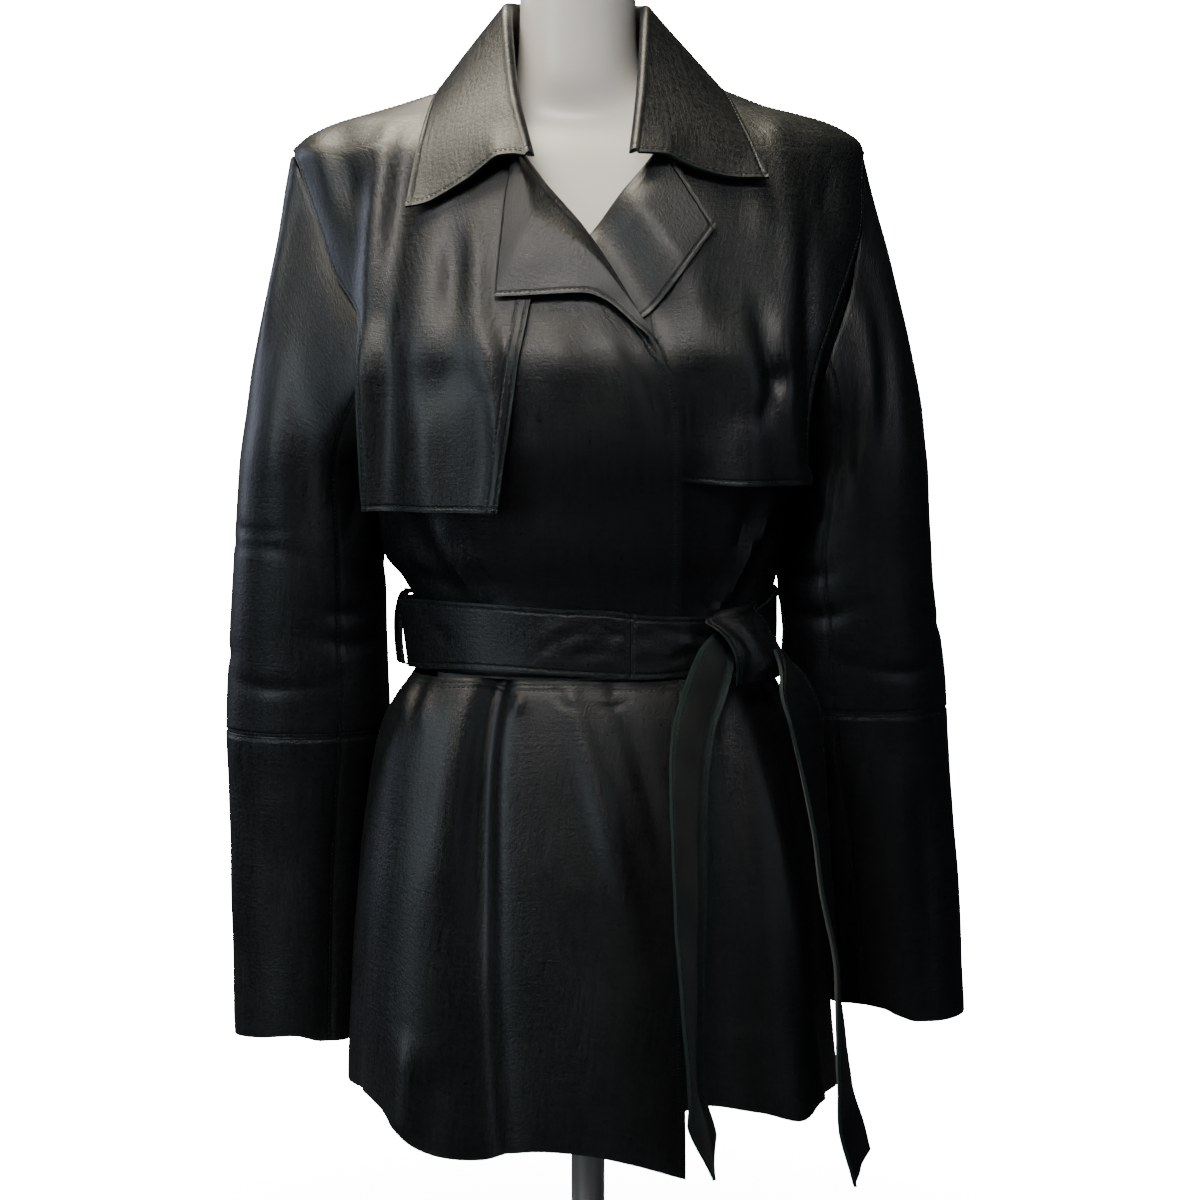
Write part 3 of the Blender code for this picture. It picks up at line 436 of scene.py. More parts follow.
# Creases: strength at the start and end; the height is minus for a trough.
CREASES = tables(
    "mmmmmmnnmm",  # x, z at its start, middle and end; start, end, half width, height
    front_right=(
        (-114, 604, -99, 571, -72, 537, 0.3, 0.9, 5.8, 5),
        (-96, 604, -83, 572, -66, 537, 0.2, 0.9, 5.2, -4.4),
        (-130, 600, -115, 572, -96, 540, 0.4, 0.5, 7, -3),
        (-113, 552, -105, 545, -93, 541, 0.2, 0.2, 2.8, -2),
        (-128, 562, -119, 551, -108, 542, 0.3, 0.2, 3.5, -2.6),
        (-78, 590, -62, 562, -48, 537, 0.1, 0.6, 6.5, -1.8),
        (-58, 531, -46, 533, -30, 530, 0.1, 0.1, 1.8, -0.6),
        (30, 704, 44, 676, 52, 638, 0.6, 0.1, 6, -1.4),
        (14, 716, 30, 680, 40, 640, 0.5, 0.1, 7.5, 1.6),
        (-30, 735, -18, 700, -12, 655, 0.2, 0.1, 13, 2),
        (0, 610, 18, 575, 30, 535, 0.1, 0.5, 12, -1.4),
    ),
    front_left=(
        (134, 616, 120, 582, 97, 527, 0.4, 0.9, 5.2, 5.8),
        (122, 616, 111, 580, 92, 527, 0.3, 0.9, 5.2, -4.6),
        (145, 606, 132, 580, 106, 528, 0.3, 0.8, 6, -4.2),
        (86, 602, 87, 565, 90, 530, 0.1, 0.7, 6, -2.6),
        (102, 600, 100, 565, 94, 530, 0.2, 0.7, 5, 2.2),
    ),
    storm_flap_right=(
        (-140, 862, -147, 780, -152, 600, 0.4, 0.9, 8, 6),
        (-121, 860, -130, 815, -136, 715, 0.2, 0.1, 9.5, -6),
        (-136, 730, -136, 665, -137, 600, 0.3, 0.9, 8.5, -4.6),
        (-104, 805, -114, 738, -125, 672, 0.1, 0.1, 13, 4),
        (-92, 805, -89, 765, -93, 718, 0.1, 0.1, 9.5, -4.2),
        (-71, 808, -79, 760, -68, 692, 0.1, 0.4, 9.5, 3.8),
        (-70, 715, -59, 655, -63, 600, 0.2, 0.9, 8.5, 5.2),
        (-80, 714, -97, 688, -120, 650, 0.1, 0.1, 14, -3.4),
        (-61, 735, -53, 690, -52, 630, 0.2, 0.4, 5.5, -2.2),
        (-106, 700, -112, 650, -108, 600, 0.1, 0.9, 13, 4),
        (-176, 862, -168, 825, -158, 790, 0.4, 0.1, 11, -4.8),
        (-196, 858, -184, 836, -176, 810, 0.3, 0.1, 7, 2.2),
    ),
    storm_flap_left=(
        (134, 862, 141, 780, 135, 706, 0.5, 0.35, 9, 4.2),
        (135, 722, 138, 672, 147, 618, 0.3, 0.8, 8.5, 4.6),
        (110, 770, 122, 718, 129, 688, 0.1, 0.9, 6.5, -5.2),
        (130, 692, 125, 672, 113, 652, 0.9, 0, 5.5, -4.2),
        (152, 815, 152, 740, 156, 630, 0.1, 0.8, 5.5, -4.4),
        (102, 805, 96, 740, 86, 655, 0.1, 0.1, 17, -3),
        (116, 846, 122, 806, 124, 770, 0.3, 0.1, 9, 2.6),
        (104, 668, 108, 645, 110, 617, 0, 0.9, 10, 2.2),
        (172, 850, 168, 820, 166, 780, 0.2, 0.1, 8, -2.6),
    ),
    back=(
        (-104, 760, -74, 660, -34, 545, 0.1, 0.7, 10, -3.4),
        (110, 752, 80, 655, 44, 542, 0.1, 0.7, 11, -3.2),
        (-150, 722, -124, 672, -108, 612, 0.5, 0.1, 8, -4.6),
        (156, 728, 128, 680, 114, 606, 0.5, 0.1, 8.5, -4.2),
        (-162, 742, -140, 700, -126, 650, 0.4, 0.1, 7, 3),
        (-86, 612, -82, 570, -78, 535, 0, 0.9, 6, 3.8),
        (-62, 600, -58, 565, -56, 535, 0, 0.9, 5.5, -3),
        (20, 618, 16, 575, 18, 535, 0, 0.8, 7, -2.6),
        (66, 606, 68, 570, 70, 535, 0, 0.9, 6, 3.6),
        (88, 600, 92, 566, 94, 535, 0, 0.9, 6, -3.4),
        (-10, 640, -12, 580, -8, 535, 0, 0.7, 9, 2.2),
        (-60, 846, -20, 838, 30, 842, 0.1, 0.1, 8, -2.2),
        (0, 820, 4, 760, 0, 690, 0.1, 0.1, 20, -2.6),
    ),
)

# The same for sleeves, by degrees round from the outermost line, and height.
SLEEVE_CREASES = tables(
    "nmnmnmnnmm",  # turn, z at its start, middle and end; start, end, half width, height
    right=(
        (52, 822, 80, 776, 104, 722, 0.6, 0.2, 7.5, -4.8),
        (24, 812, 34, 752, 36, 682, 0.2, 0.1, 10, 3),
        (70, 740, 88, 660, 96, 560, 0.2, 0.2, 14, -3),
        (112, 690, 108, 600, 112, 480, 0.3, 0.2, 8.5, 2.8),
        (8, 588, 48, 579, 96, 585, 0.1, 0.1, 3.6, -1.3),
        (18, 562, 60, 568, 104, 557, 0.1, 0.2, 4.2, -1.3),
        (-12, 574, 12, 569, 38, 573, 0.1, 0.1, 3.4, -1),
        (26, 474, 66, 464, 118, 471, 0.1, 0.3, 5.5, -1.7),
        (-46, 494, -4, 484, 44, 492, 0.1, 0.1, 6.5, -1.7),
        (96, 505, 132, 496, 176, 504, 0.3, 0.2, 6, -3.4),
        (88, 528, 122, 519, 156, 527, 0.1, 0.2, 5.5, -2.4),
        (120, 552, 160, 545, 200, 556, 0.2, 0.2, 7, -3),
        (-140, 474, -98, 458, -50, 470, 0.2, 0.1, 6, -2.2),
        (-130, 700, -104, 640, -92, 560, 0.3, 0.1, 12, -3.4),
        (-70, 770, -58, 690, -54, 610, 0.2, 0.1, 12, 2.8),
        (150, 640, 140, 600, 118, 570, 0.8, 0.1, 7, -4),
        (60, 400, 74, 320, 70, 240, 0.1, 0.2, 13, -2.6),
        (20, 420, 26, 330, 18, 215, 0.2, 0.5, 12, 2.2),
        (110, 420, 118, 340, 112, 205, 0.2, 0.8, 9, -2.4),
        (-40, 380, -36, 300, -44, 205, 0.1, 0.8, 12, -2.8),
        (-110, 400, -104, 300, -112, 205, 0.1, 0.8, 11, 2.8),
    ),
    left=(
        (84, 772, 90, 704, 94, 612, 0.3, 0.1, 6.5, 3.4),
        (70, 760, 76, 668, 82, 545, 0.2, 0.1, 10, -3),
        (104, 740, 106, 664, 104, 560, 0.4, 0.1, 6, -3),
        (44, 690, 36, 580, 28, 470, 0.1, 0.2, 12, 2.6),
        (10, 640, 8, 560, 2, 480, 0.1, 0.1, 11, -2),
        (-30, 520, 6, 508, 46, 518, 0.1, 0.1, 6, -1.5),
        (30, 488, 62, 476, 112, 486, 0.1, 0.3, 5.5, -1.8),
        (92, 528, 128, 516, 172, 526, 0.3, 0.2, 6, -3.2),
        (100, 556, 136, 546, 178, 560, 0.1, 0.2, 6, -2.6),
        (-136, 500, -96, 484, -52, 494, 0.2, 0.1, 6.5, -2.4),
        (-128, 716, -106, 650, -96, 566, 0.3, 0.1, 12, -3.2),
        (-60, 780, -50, 700, -48, 620, 0.2, 0.1, 11, 2.6),
        (152, 638, 136, 604, 116, 580, 0.8, 0.1, 7, -3.6),
        (84, 430, 86, 340, 96, 222, 0.2, 0.8, 11, 3),
        (62, 420, 60, 330, 66, 222, 0.2, 0.6, 10, -2.8),
        (112, 430, 122, 330, 132, 222, 0.2, 0.8, 9, -3.4),
        (28, 420, 22, 330, 20, 222, 0.1, 0.5, 13, 2),
        (-36, 400, -42, 310, -34, 222, 0.1, 0.8, 12, -2.8),
        (-104, 420, -110, 320, -100, 222, 0.1, 0.8, 11, 2.6),
    ),
)

# The same for the skirt pieces, by degrees round the waist.
SKIRT_CREASES = tables(
    "nmnmnmnnmm",  # angle, z at its start, middle and end; start, end, half width, height
    right=(
        (-47, 480, -43, 365, -37, 250, 0.9, 0, 10.5, -6.2),
        (-54, 474, -52, 390, -48, 262, 0.5, 0, 9, 4.4),
        (-79, 472, -74, 461, -67, 432, 0.6, 0, 6.2, 3.2),
        (-67, 470, -65, 456, -61, 436, 0.4, 0, 5, 3),
        (-72, 474, -70, 462, -66, 440, 0.6, 0, 4.4, -2.2),
        (-36, 470, -33, 462, -31, 450, 0.2, 0.1, 6.2, 2.6),
        (-8, 462, 9, 375, 21, 272, 0.4, 0.2, 13, 4.6),
        (14, 470, 26, 400, 32, 300, 0.5, 0.1, 11, -2.6),
        (-16, 472, -12, 462, -4, 459, 0.5, 0.1, 2.8, -1.2),
        (4, 462, 12, 460, 20, 464, 0.2, 0.3, 2.6, -1.2),
        (-55, 236, -54, 205, -54, 166, 0, 0.9, 7, 4.6),
        (-46, 215, -47, 190, -47, 150, 0, 0.9, 8, -2.6),
        (-76, 330, -76, 250, -75, 172, 0, 0.9, 9, -2.4),
    ),
    left=(
        (64, 440, 65, 320, 71, 175, 0.3, 0.8, 8, 4.6),
        (53, 474, 53, 380, 52, 240, 0.7, 0.3, 7.5, -3.4),
        (74, 474, 73, 400, 78, 220, 0.7, 0.4, 7, -3),
        (79, 474, 79, 455, 80, 425, 0.9, 0, 5, 2.8),
        (40, 474, 38, 440, 36, 380, 0.7, 0, 6, 2),
    ),
    back=(
        (104, 474, 104, 450, 103, 415, 0.9, 0, 4.2, 3.6),
        (110, 474, 110, 452, 110, 420, 0.9, 0, 3.6, -3.2),
        (117, 474, 117, 440, 118, 390, 0.9, 0, 4.4, 3.6),
        (132, 474, 132, 448, 133, 405, 0.8, 0, 4.4, -3.4),
        (146, 474, 146, 450, 146, 412, 0.8, 0, 4.2, 3.4),
        (160, 474, 160, 440, 160, 380, 0.7, 0, 5, 2.6),
        (176, 474, 177, 440, 178, 385, 0.8, 0, 5, -3),
        (192, 474, 192, 450, 192, 410, 0.8, 0, 4.2, 3.2),
        (206, 474, 206, 446, 205, 400, 0.8, 0, 4.6, 3),
        (221, 474, 221, 450, 221, 410, 0.9, 0, 4, -3.4),
        (236, 474, 236, 440, 236, 392, 0.9, 0, 4.4, 3.6),
        (246, 474, 246, 454, 246, 420, 0.9, 0, 3.8, -3),
        (255, 474, 255, 450, 256, 415, 0.9, 0, 4.2, 3.4),
    ),
)

# And for the belt, whose wrinkles gather on either side of its join.
BELT_CREASES = table(
    "nmnmnmnnmm",  # angle, z at its start, middle and end; start, end, half width, height
    (-22, 494, -16, 502, -10, 505, 0.1, 0.1, 2.2, -1.1),
    (-18, 512, -12, 516, -5, 515, 0.1, 0.1, 2.2, 1.1),
    (-13, 506, -7, 511, 0, 510, 0.1, 0.1, 1.8, -1.3),
    (-9, 500, -3, 505, 4, 503, 0.1, 0.1, 1.8, 1.2),
    (-6, 494, 1, 498, 8, 495, 0.1, 0.1, 1.8, -1.3),
    (-2, 515, 4, 518, 10, 514, 0.1, 0.1, 1.6, -1),
    (2, 489, 7, 492, 13, 490, 0.1, 0.2, 1.8, 1.1),
    (6, 507, 10, 512, 15, 508, 0.1, 0.2, 1.7, -1.3),
    (9, 500, 12, 503, 16, 500, 0.1, 0.3, 1.6, 1.2),
    (18, 506, 23, 510, 29, 505, 0.3, 0.1, 1.8, -1.3),
    (18, 494, 24, 499, 31, 496, 0.2, 0.1, 2, 1.3),
    (22, 516, 29, 514, 37, 509, 0.1, 0.3, 2, -1.2),
    (28, 489, 35, 494, 42, 500, 0.1, 0.5, 2.2, -1.6),
    (32, 504, 39, 503, 47, 502, 0.1, 0.7, 2.6, 2),
    (36, 512, 43, 508, 50, 504, 0.1, 0.8, 2.2, -1.8),
    (-64, 520, -58, 508, -50, 500, 0.2, 0.1, 5, -1.2),
    (-92, 530, -90, 514, -91, 498, 0.8, 0.8, 4, -1.2),
    (-140, 522, -132, 512, -122, 506, 0.1, 0.1, 3.4, -1.2),
    (-196, 505, -188, 514, -178, 518, 0.1, 0.1, 3.4, -1.2),
    (-236, 518, -228, 508, -218, 504, 0.1, 0.1, 3.6, -1.3),
    (-262, 506, -255, 514, -246, 520, 0.1, 0.1, 3.4, -1.3),
    (-292, 508, -284, 506, -274, 512, 0.9, 0.1, 3, 1.6),
    (-292, 496, -284, 498, -272, 500, 0.9, 0.1, 3, -1.6),
)

KNOT_CREASES = table(
    "mmmmmmnnmm",  # down, across at its start, middle and end; start, end, half width, height
    (4, 7, 20, 13, 44, 15, 0.3, 0.2, 3.4, -1.2),
    (30, 34, 40, 24, 47, 10, 0.4, 0.2, 3.6, 1.2),
    (2, 30, 14, 26, 30, 27, 0.4, 0.1, 4, -1.2),
    (10, 4, 24, 8, 36, 6, 0.2, 0.2, 2.6, 1),
)

SLEEVE_DEGREE = 0.00092   # length of a degree of the sleeve's girth
SKIRT_DEGREE = 0.0024
BELT_DEGREE = 0.0018

# Size of each piece's flat leather, and its own area within it, where it shows.
CUT = {
    # piece: width, length, area
    "front_right": (0.304, 0.619, 0.1027), "front_left": (0.296, 0.573, 0.1022),
    "back": (0.495, 0.610, 0.1868), "collar": (0.187, 0.583, 0.0689),
    "storm_flap_right": (0.189, 0.427, 0.0477), "storm_flap_left": (0.181, 0.387, 0.0459),
    "lapel_right": (0.103, 0.225, 0.0082), "lapel_left": (0.087, 0.177, 0.0114),
    "top_sleeve_upper_right": (0.386, 0.429, 0.0892),
    "under_sleeve_upper_right": (0.213, 0.289, 0.0293),
    "top_sleeve_lower_right": (0.253, 0.235, 0.0538),
    "under_sleeve_lower_right": (0.123, 0.234, 0.0261),
    "top_sleeve_upper_left": (0.354, 0.414, 0.0787),
    "under_sleeve_upper_left": (0.184, 0.261, 0.0267),
    "top_sleeve_lower_left": (0.250, 0.236, 0.0547),
    "under_sleeve_lower_left": (0.123, 0.233, 0.0262),
    "skirt_right": (0.335, 0.353, 0.0969), "skirt_left": (0.278, 0.323, 0.0758),
    "skirt_back": (0.535, 0.315, 0.1485),
    "belt_long": (0.672, 0.051, 0.0318), "belt_short": (0.083, 0.047, 0.0035),
    "belt_loop_right": (0.016, 0.066, 0.0010), "belt_loop_left": (0.016, 0.066, 0.0010),
    "belt_knot": (0.062, 0.092, 0.0042),
    "belt_tail_inner": (0.088, 0.390, 0.0157), "belt_tail_outer": (0.047, 0.394, 0.0165),
}


# ---------------------------------------------------------------- reading tables
def hermite(start, leave, end, arrive, t):
    """Points of a curve that leaves and arrives along given directions."""
    return (start * (1 + 2 * t) * (1 - t) ** 2 + leave * t * (1 - t) ** 2
            + end * t * t * (3 - 2 * t) - arrive * t * t * (1 - t))


def read(rows, at):
    """The later columns of a table at values of its first, on smooth curves."""
    stations, values = rows[:, 0], rows[:, 1:]
    at = np.clip(np.asarray(at, float), stations[0], stations[-1])
    low = np.clip(np.searchsorted(stations, at, side="left") - 1, 0, len(stations) - 2)
    spans = np.diff(stations)
    secants = np.diff(values, axis=0) / spans[:, None]
    before, after = secants[:-1], secants[1:]
    same_way = before * after > 0
    total = np.where(same_way, before + after, 1.0)
    inner = np.where(same_way, 2 * before * after / total, 0.0)
    slopes = np.vstack([secants[:1], inner, secants[-1:]])
    step = spans[low][..., None]
    t = ((at - stations[low]) / spans[low])[..., None]
    found = hermite(values[low], slopes[low] * step, values[low + 1], slopes[low + 1] * step, t)
    return np.moveaxis(found, -1, 0)


def blend(low, high, value):
    """0 below low, 1 above high, with a soft change between them."""
    t = np.clip((value - low) / (high - low), 0.0, 1.0)
    return t * t * (3 - 2 * t)


def points(x, y, z):
    return np.stack(np.broadcast_arrays(x, y, z), axis=-1).astype(float)


def unit(vectors):
    return vectors / np.maximum(np.linalg.norm(vectors, axis=-1, keepdims=True), 1e-12)


def lengths_along(line):
    """Length from the first point of a line to each of its points."""
    steps = np.linalg.norm(np.diff(line, axis=0), axis=-1)
    return np.concatenate([[0.0], np.cumsum(steps)])


def spaced(count, crowd=0.7):
    """Shares from 0 to 1, closer together towards both ends."""
    t = np.linspace(0.0, 1.0, count + 1)
    return t - crowd * np.sin(2 * np.pi * t) / (2 * np.pi)


# ---------------------------------------------------------------- the body's rings
def ring_point(sizes, middle_y, angle, z, push=0.0):
    """Points of a ring: angle 0 is the centre front, 90 the wearer's left side."""
    right, left, front, back, square = sizes
    turn = np.radians(angle)
    side = np.where(np.sin(turn) > 0, left, right)
    depth = np.where(np.cos(turn) > 0, front, back)
    across = (np.abs(np.sin(turn)) / side) ** square
    along = (np.abs(np.cos(turn)) / depth) ** square
    reach = (across + along) ** (-1 / square) + push
    return points(reach * np.sin(turn), middle_y - reach * np.cos(turn), z)


def bodice_bare(angle, z):
    return ring_point(read(BODICE, z), RIDGE_Y, angle, z)


def tuck(x, z):
    """Share of the full tuck of a layer of the wearer's left side."""
    return 1.0 - blend(TUCK_TO, TUCK_FROM, x - read(FRONT_EDGE, z)[0])


def flap_size_z(z):
    """The height whose ring a flap follows: it hangs almost straight from the bust."""
    z = np.asarray(z, float)
    return np.where(z > FLAP_BUST_Z, z, FLAP_BUST_Z - FLAP_FOLLOWS * (FLAP_BUST_Z - z))


def flap_bare(angle, z):
    """Where the top front covers it, a flap lies against the body instead."""
    hanging = ring_point(read(BODICE, flap_size_z(z)), RIDGE_Y, angle, z)
    share = np.where(np.asarray(angle) < 0, 0.0, tuck(hanging[..., 0], z))[..., None]
    return hanging * (1 - share) + bodice_bare(angle, z) * share


def skirt_bare(angle, z):
    push = 0.0
    fall = np.clip((WAIST_Z - z) / (WAIST_Z - 0.15), 0.0, 1.0)
    for waist_angle, hem_angle, half_width, at_waist, at_hem in SKIRT_FOLDS:
        centre = waist_angle + (hem_angle - waist_angle) * fall
        off = (angle - centre + 180) % 360 - 180
        push = push + (at_waist + (at_hem - at_waist) * fall) * np.exp(-((off / half_width) ** 2))
    return ring_point(read(SKIRT, z), SKIRT_MIDDLE_Y, angle, z, push)


def facing_of(bare, angle, z):
    """Which way a surface faces."""
    round_it = bare(angle + 0.5, z) - bare(angle - 0.5, z)
    up_it = bare(angle, z + 0.001) - bare(angle, z - 0.001)
    return unit(np.cross(round_it, up_it))


def lifted(bare, angle, z, lift):
    """Points of a surface moved out along its normal."""
    return bare(angle, z) + facing_of(bare, angle, z) * np.asarray(lift, float)[..., None]


def angle_at(rings, size_z, x, back=False):
    """The angle at which a ring passes a given x."""
    right, left, front, rear, square = read(rings, size_z)
    side = np.where(np.asarray(x) > 0, left, right)
    share = np.minimum(np.abs(x) / side, 1.0)
    away = (rear if back else front) * (1 - share ** square) ** (1 / square)
    angle = np.degrees(np.arctan2(np.abs(x), away))
    return np.copysign(180 - angle if back else angle, x)


def even_levels(bare, angle, low_z, high_z):
    """Heights evenly spaced along the cloth at one angle."""
    fine = np.linspace(low_z, high_z, 400)
    run = lengths_along(bare(np.full(fine.shape, float(angle)), fine))
    count = max(int(round(run[-1] / FINE)), 2)
    return np.interp(spaced(count) * run[-1], run, fine)


def even_angles(bare, z, first, last, shares):
    """Angles from first to last at given shares of the way along the cloth."""
    tries = np.linspace(first, last, 160)
    run = lengths_along(bare(tries, np.full(tries.shape, float(z))))
    return np.interp(np.asarray(shares) * run[-1], run, tries)


def panel(bare, levels, columns, bounds, flip):
    """Angles and heights of a panel's points, between its two bounds at each height."""
    rows = [even_angles(bare, z, *bounds(z), spaced(columns)) for z in levels]
    angles = np.array([row[::-1] if flip else row for row in rows])
    return angles, np.broadcast_to(levels[:, None], angles.shape)


# ---------------------------------------------------------------- creases
RELIEF_STEPS = 12


def relief(rows, p, q, p_unit=1.0):
    """Height of soft troughs and ridges at the points (p, q) of a piece's own map."""
    height = np.zeros(np.broadcast(p, q).shape)
    t = np.linspace(0.0, 1.0, RELIEF_STEPS + 1)
    first, middle, last = (1 - t) * (1 - 2 * t), 4 * t * (1 - t), t * (2 * t - 1)
    for p1, q1, p2, q2, p3, q3, start, end, half_width, depth in rows:
        line_p = (first * p1 + middle * p2 + last * p3) * p_unit
        line_q = first * q1 + middle * q2 + last * q3
        best = np.full(height.shape, np.inf)
        place = np.zeros(height.shape)
        for i in range(RELIEF_STEPS):
            run_p, run_q = line_p[i + 1] - line_p[i], line_q[i + 1] - line_q[i]
            off_p, off_q = p * p_unit - line_p[i], q - line_q[i]
            size = run_p ** 2 + run_q ** 2
            share = np.clip((off_p * run_p + off_q * run_q) / size, 0.0, 1.0)
            away = (off_p - share * run_p) ** 2 + (off_q - share * run_q) ** 2
            place = np.where(away < best, (i + share) / RELIEF_STEPS, place)
            best = np.minimum(away, best)
        at_end = np.where(place < 0.5, start, end)
        strength = at_end + (1 - at_end) * (0.5 - 0.5 * np.cos(2 * np.pi * place))
        height += depth * strength * np.exp(-best / half_width ** 2)
    return height


def normals(grid):
    return unit(np.cross(np.gradient(grid, axis=1), np.gradient(grid, axis=0)))


def raised(grid, height):
    return grid + normals(grid) * height[..., None]


# ---------------------------------------------------------------- grids of points
def turned(grid, edge):
    """The grid with one of its edges as its first row."""
    if edge in ("low", "high"):
        return grid if edge == "low" else grid[::-1]
    swapped = np.swapaxes(grid, 0, 1)
    return swapped if edge == "first" else swapped[::-1]


def distance_from(grid, edge):
    """How far each point lies from one edge, along the cloth."""
    lines = turned(grid, edge)
    steps = np.linalg.norm(np.diff(lines, axis=0), axis=-1)
    runs = np.vstack([np.zeros((1, steps.shape[1])), np.cumsum(steps, axis=0)])
    if edge in ("high", "last"):
        runs = runs[::-1]
    return runs if edge in ("low", "high") else runs.T


SEAM_ROLL_WIDTH = 0.0016
SEAM_ROLL_DEPTH = 0.0009
FAR = 1.0                 # distance that means no seam is near


def seam_roll(grid, sewn):
    """Sewn edges turn in towards the seam."""
    drop = np.zeros(grid.shape[:2])
    for edge in sewn:
        drop += np.exp(-((distance_from(grid, edge) / SEAM_ROLL_WIDTH) ** 2))
    return raised(grid, -SEAM_ROLL_DEPTH * np.minimum(drop, 1.0))


def line_inside(grid, edge, inset):
    """A line that runs a set distance inside one edge, with its normals."""
    away = turned(distance_from(grid, edge), edge)
    found = []
    for values in (turned(grid, edge), turned(normals(grid), edge)):
        found.append(np.array([[np.interp(inset, away[:, k], values[:, k, axis])
                                for axis in range(3)] for k in range(away.shape[1])]))
    return found[0], unit(found[1])


# ---------------------------------------------------------------- making objects
COLLECTION_NAME = "leather_wrap_jacket"


def collection():
    made = bpy.data.collections.get(COLLECTION_NAME)
    if made is None:
        made = bpy.data.collections.new(COLLECTION_NAME)
        bpy.context.scene.collection.children.link(made)
    return made


def only_active(piece):
    bpy.ops.object.select_all(action="DESELECT")
    piece.select_set(True)
    bpy.context.view_layer.objects.active = piece


def apply_modifier(piece, name, kind, **settings):
    made = piece.modifiers.new(name, kind)
    for label, value in settings.items():
        setattr(made, label, value)
    bpy.ops.object.modifier_apply(modifier=made.name)


def add_object(name, mesh, finishes):
    piece = bpy.data.objects.new(name, mesh)
    for finish in finishes:
        mesh.materials.append(finish)
    collection().objects.link(piece)
    return piece


def mesh_from(name, verts, faces):
    mesh = bpy.data.meshes.new(name)
    mesh.from_pydata(verts.tolist(), [], faces)
    mesh.update()
    return mesh


def grid_faces(rows, columns, start=0):
    index = start + np.arange(rows * columns).reshape(rows, columns)
    corners = (index[:-1, :-1], index[:-1, 1:], index[1:, 1:], index[1:, :-1])
    return np.stack([corner.ravel() for corner in corners], axis=-1).tolist()


SHARP_EDGE = math.radians(50)


def cloth_map_of(grid, spec):
    """The map of a sheet, in metres: from one edge, or from the middle of each row."""
    edge = spec.get("map_from")
    u, v = distance_from(grid, edge or "first"), distance_from(grid, "low")
    if edge:
        u, v = (-u, v[:, -1:]) if edge == "last" else (u, v[:, :1])
    else:
        u, v = u - 0.5 * u.max(axis=1, keepdims=True), v.mean(axis=1, keepdims=True)
    return np.stack([u, np.broadcast_to(v, u.shape)], axis=-1).reshape(-1, 2)


def cloth(name, grids, thickness, finishes, specs, outward):
    """A fine sheet with its own map and its distance from edge and stitching.

    finishes are those of the outer face, the inner face and the cut edge.
    """
    faces, maps, edge_far, stitch_far, start = [], [], [], [], 0
    for grid, spec in zip(grids, specs):
        faces += grid_faces(*grid.shape[:2], start)
        start += grid[..., 0].size
        maps.append(cloth_map_of(grid, spec))
        edge = stitch = np.full(grid.shape[:2], FAR)
        for side in spec.get("raw", ()):
            edge = np.minimum(edge, distance_from(grid, side))
        for side, inset, *_ in spec.get("stitch", ()):
            stitch = np.minimum(stitch, np.abs(distance_from(grid, side) - inset))
        edge_far.append(edge.ravel())
        stitch_far.append(stitch.ravel())
    mesh = mesh_from(name, np.vstack([grid.reshape(-1, 3) for grid in grids]), faces)
    loops = np.zeros(len(mesh.loops), int)
    mesh.loops.foreach_get("vertex_index", loops)
    uv = mesh.uv_layers.new(name="cloth_map")
    uv.data.foreach_set("uv", np.vstack(maps)[loops].ravel())
    for label, values in (("edge_far", edge_far), ("stitch_far", stitch_far)):
        layer = mesh.attributes.new(label, "FLOAT", "POINT")
        layer.data.foreach_set("value", np.concatenate(values).astype(np.float32))
    piece = add_object(name, mesh, finishes)
    only_active(piece)
    if len(grids) > 1:
        apply_modifier(piece, "Centre back", "WELD", merge_threshold=0.00005)
    apply_modifier(piece, "Thickness", "SOLIDIFY", thickness=thickness,
                   offset=1.0 if outward else -1.0, material_offset=1, material_offset_rim=2)
    bpy.ops.object.shade_smooth_by_angle(angle=SHARP_EDGE)
    return piece


def settle(piece, *nodes, slot="leather"):
    """A finished piece rides on the one body and stands for its solids."""
    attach(piece, "root")
    if nodes:
        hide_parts(*nodes)
    return piece


# ---------------------------------------------------------------- stitching
RUN = {"pitch": 0.0034, "length": 0.0026, "radius": 0.00030}
TICK = {"pitch": 0.0023, "length": 0.0044, "radius": 0.00028}
STITCH_LIFT = 0.0001
# One stitch, along its own length: share of half its length, share of its radius.
STITCH = np.array([(-1.0, 0.25), (-0.62, 0.90), (0.62, 0.90), (1.0, 0.25)])
STITCH_SIDES = 6
STITCH_SWAY = 0.06        # how far they lean from side to side, by hand
STITCH_WAVE = 2100.0


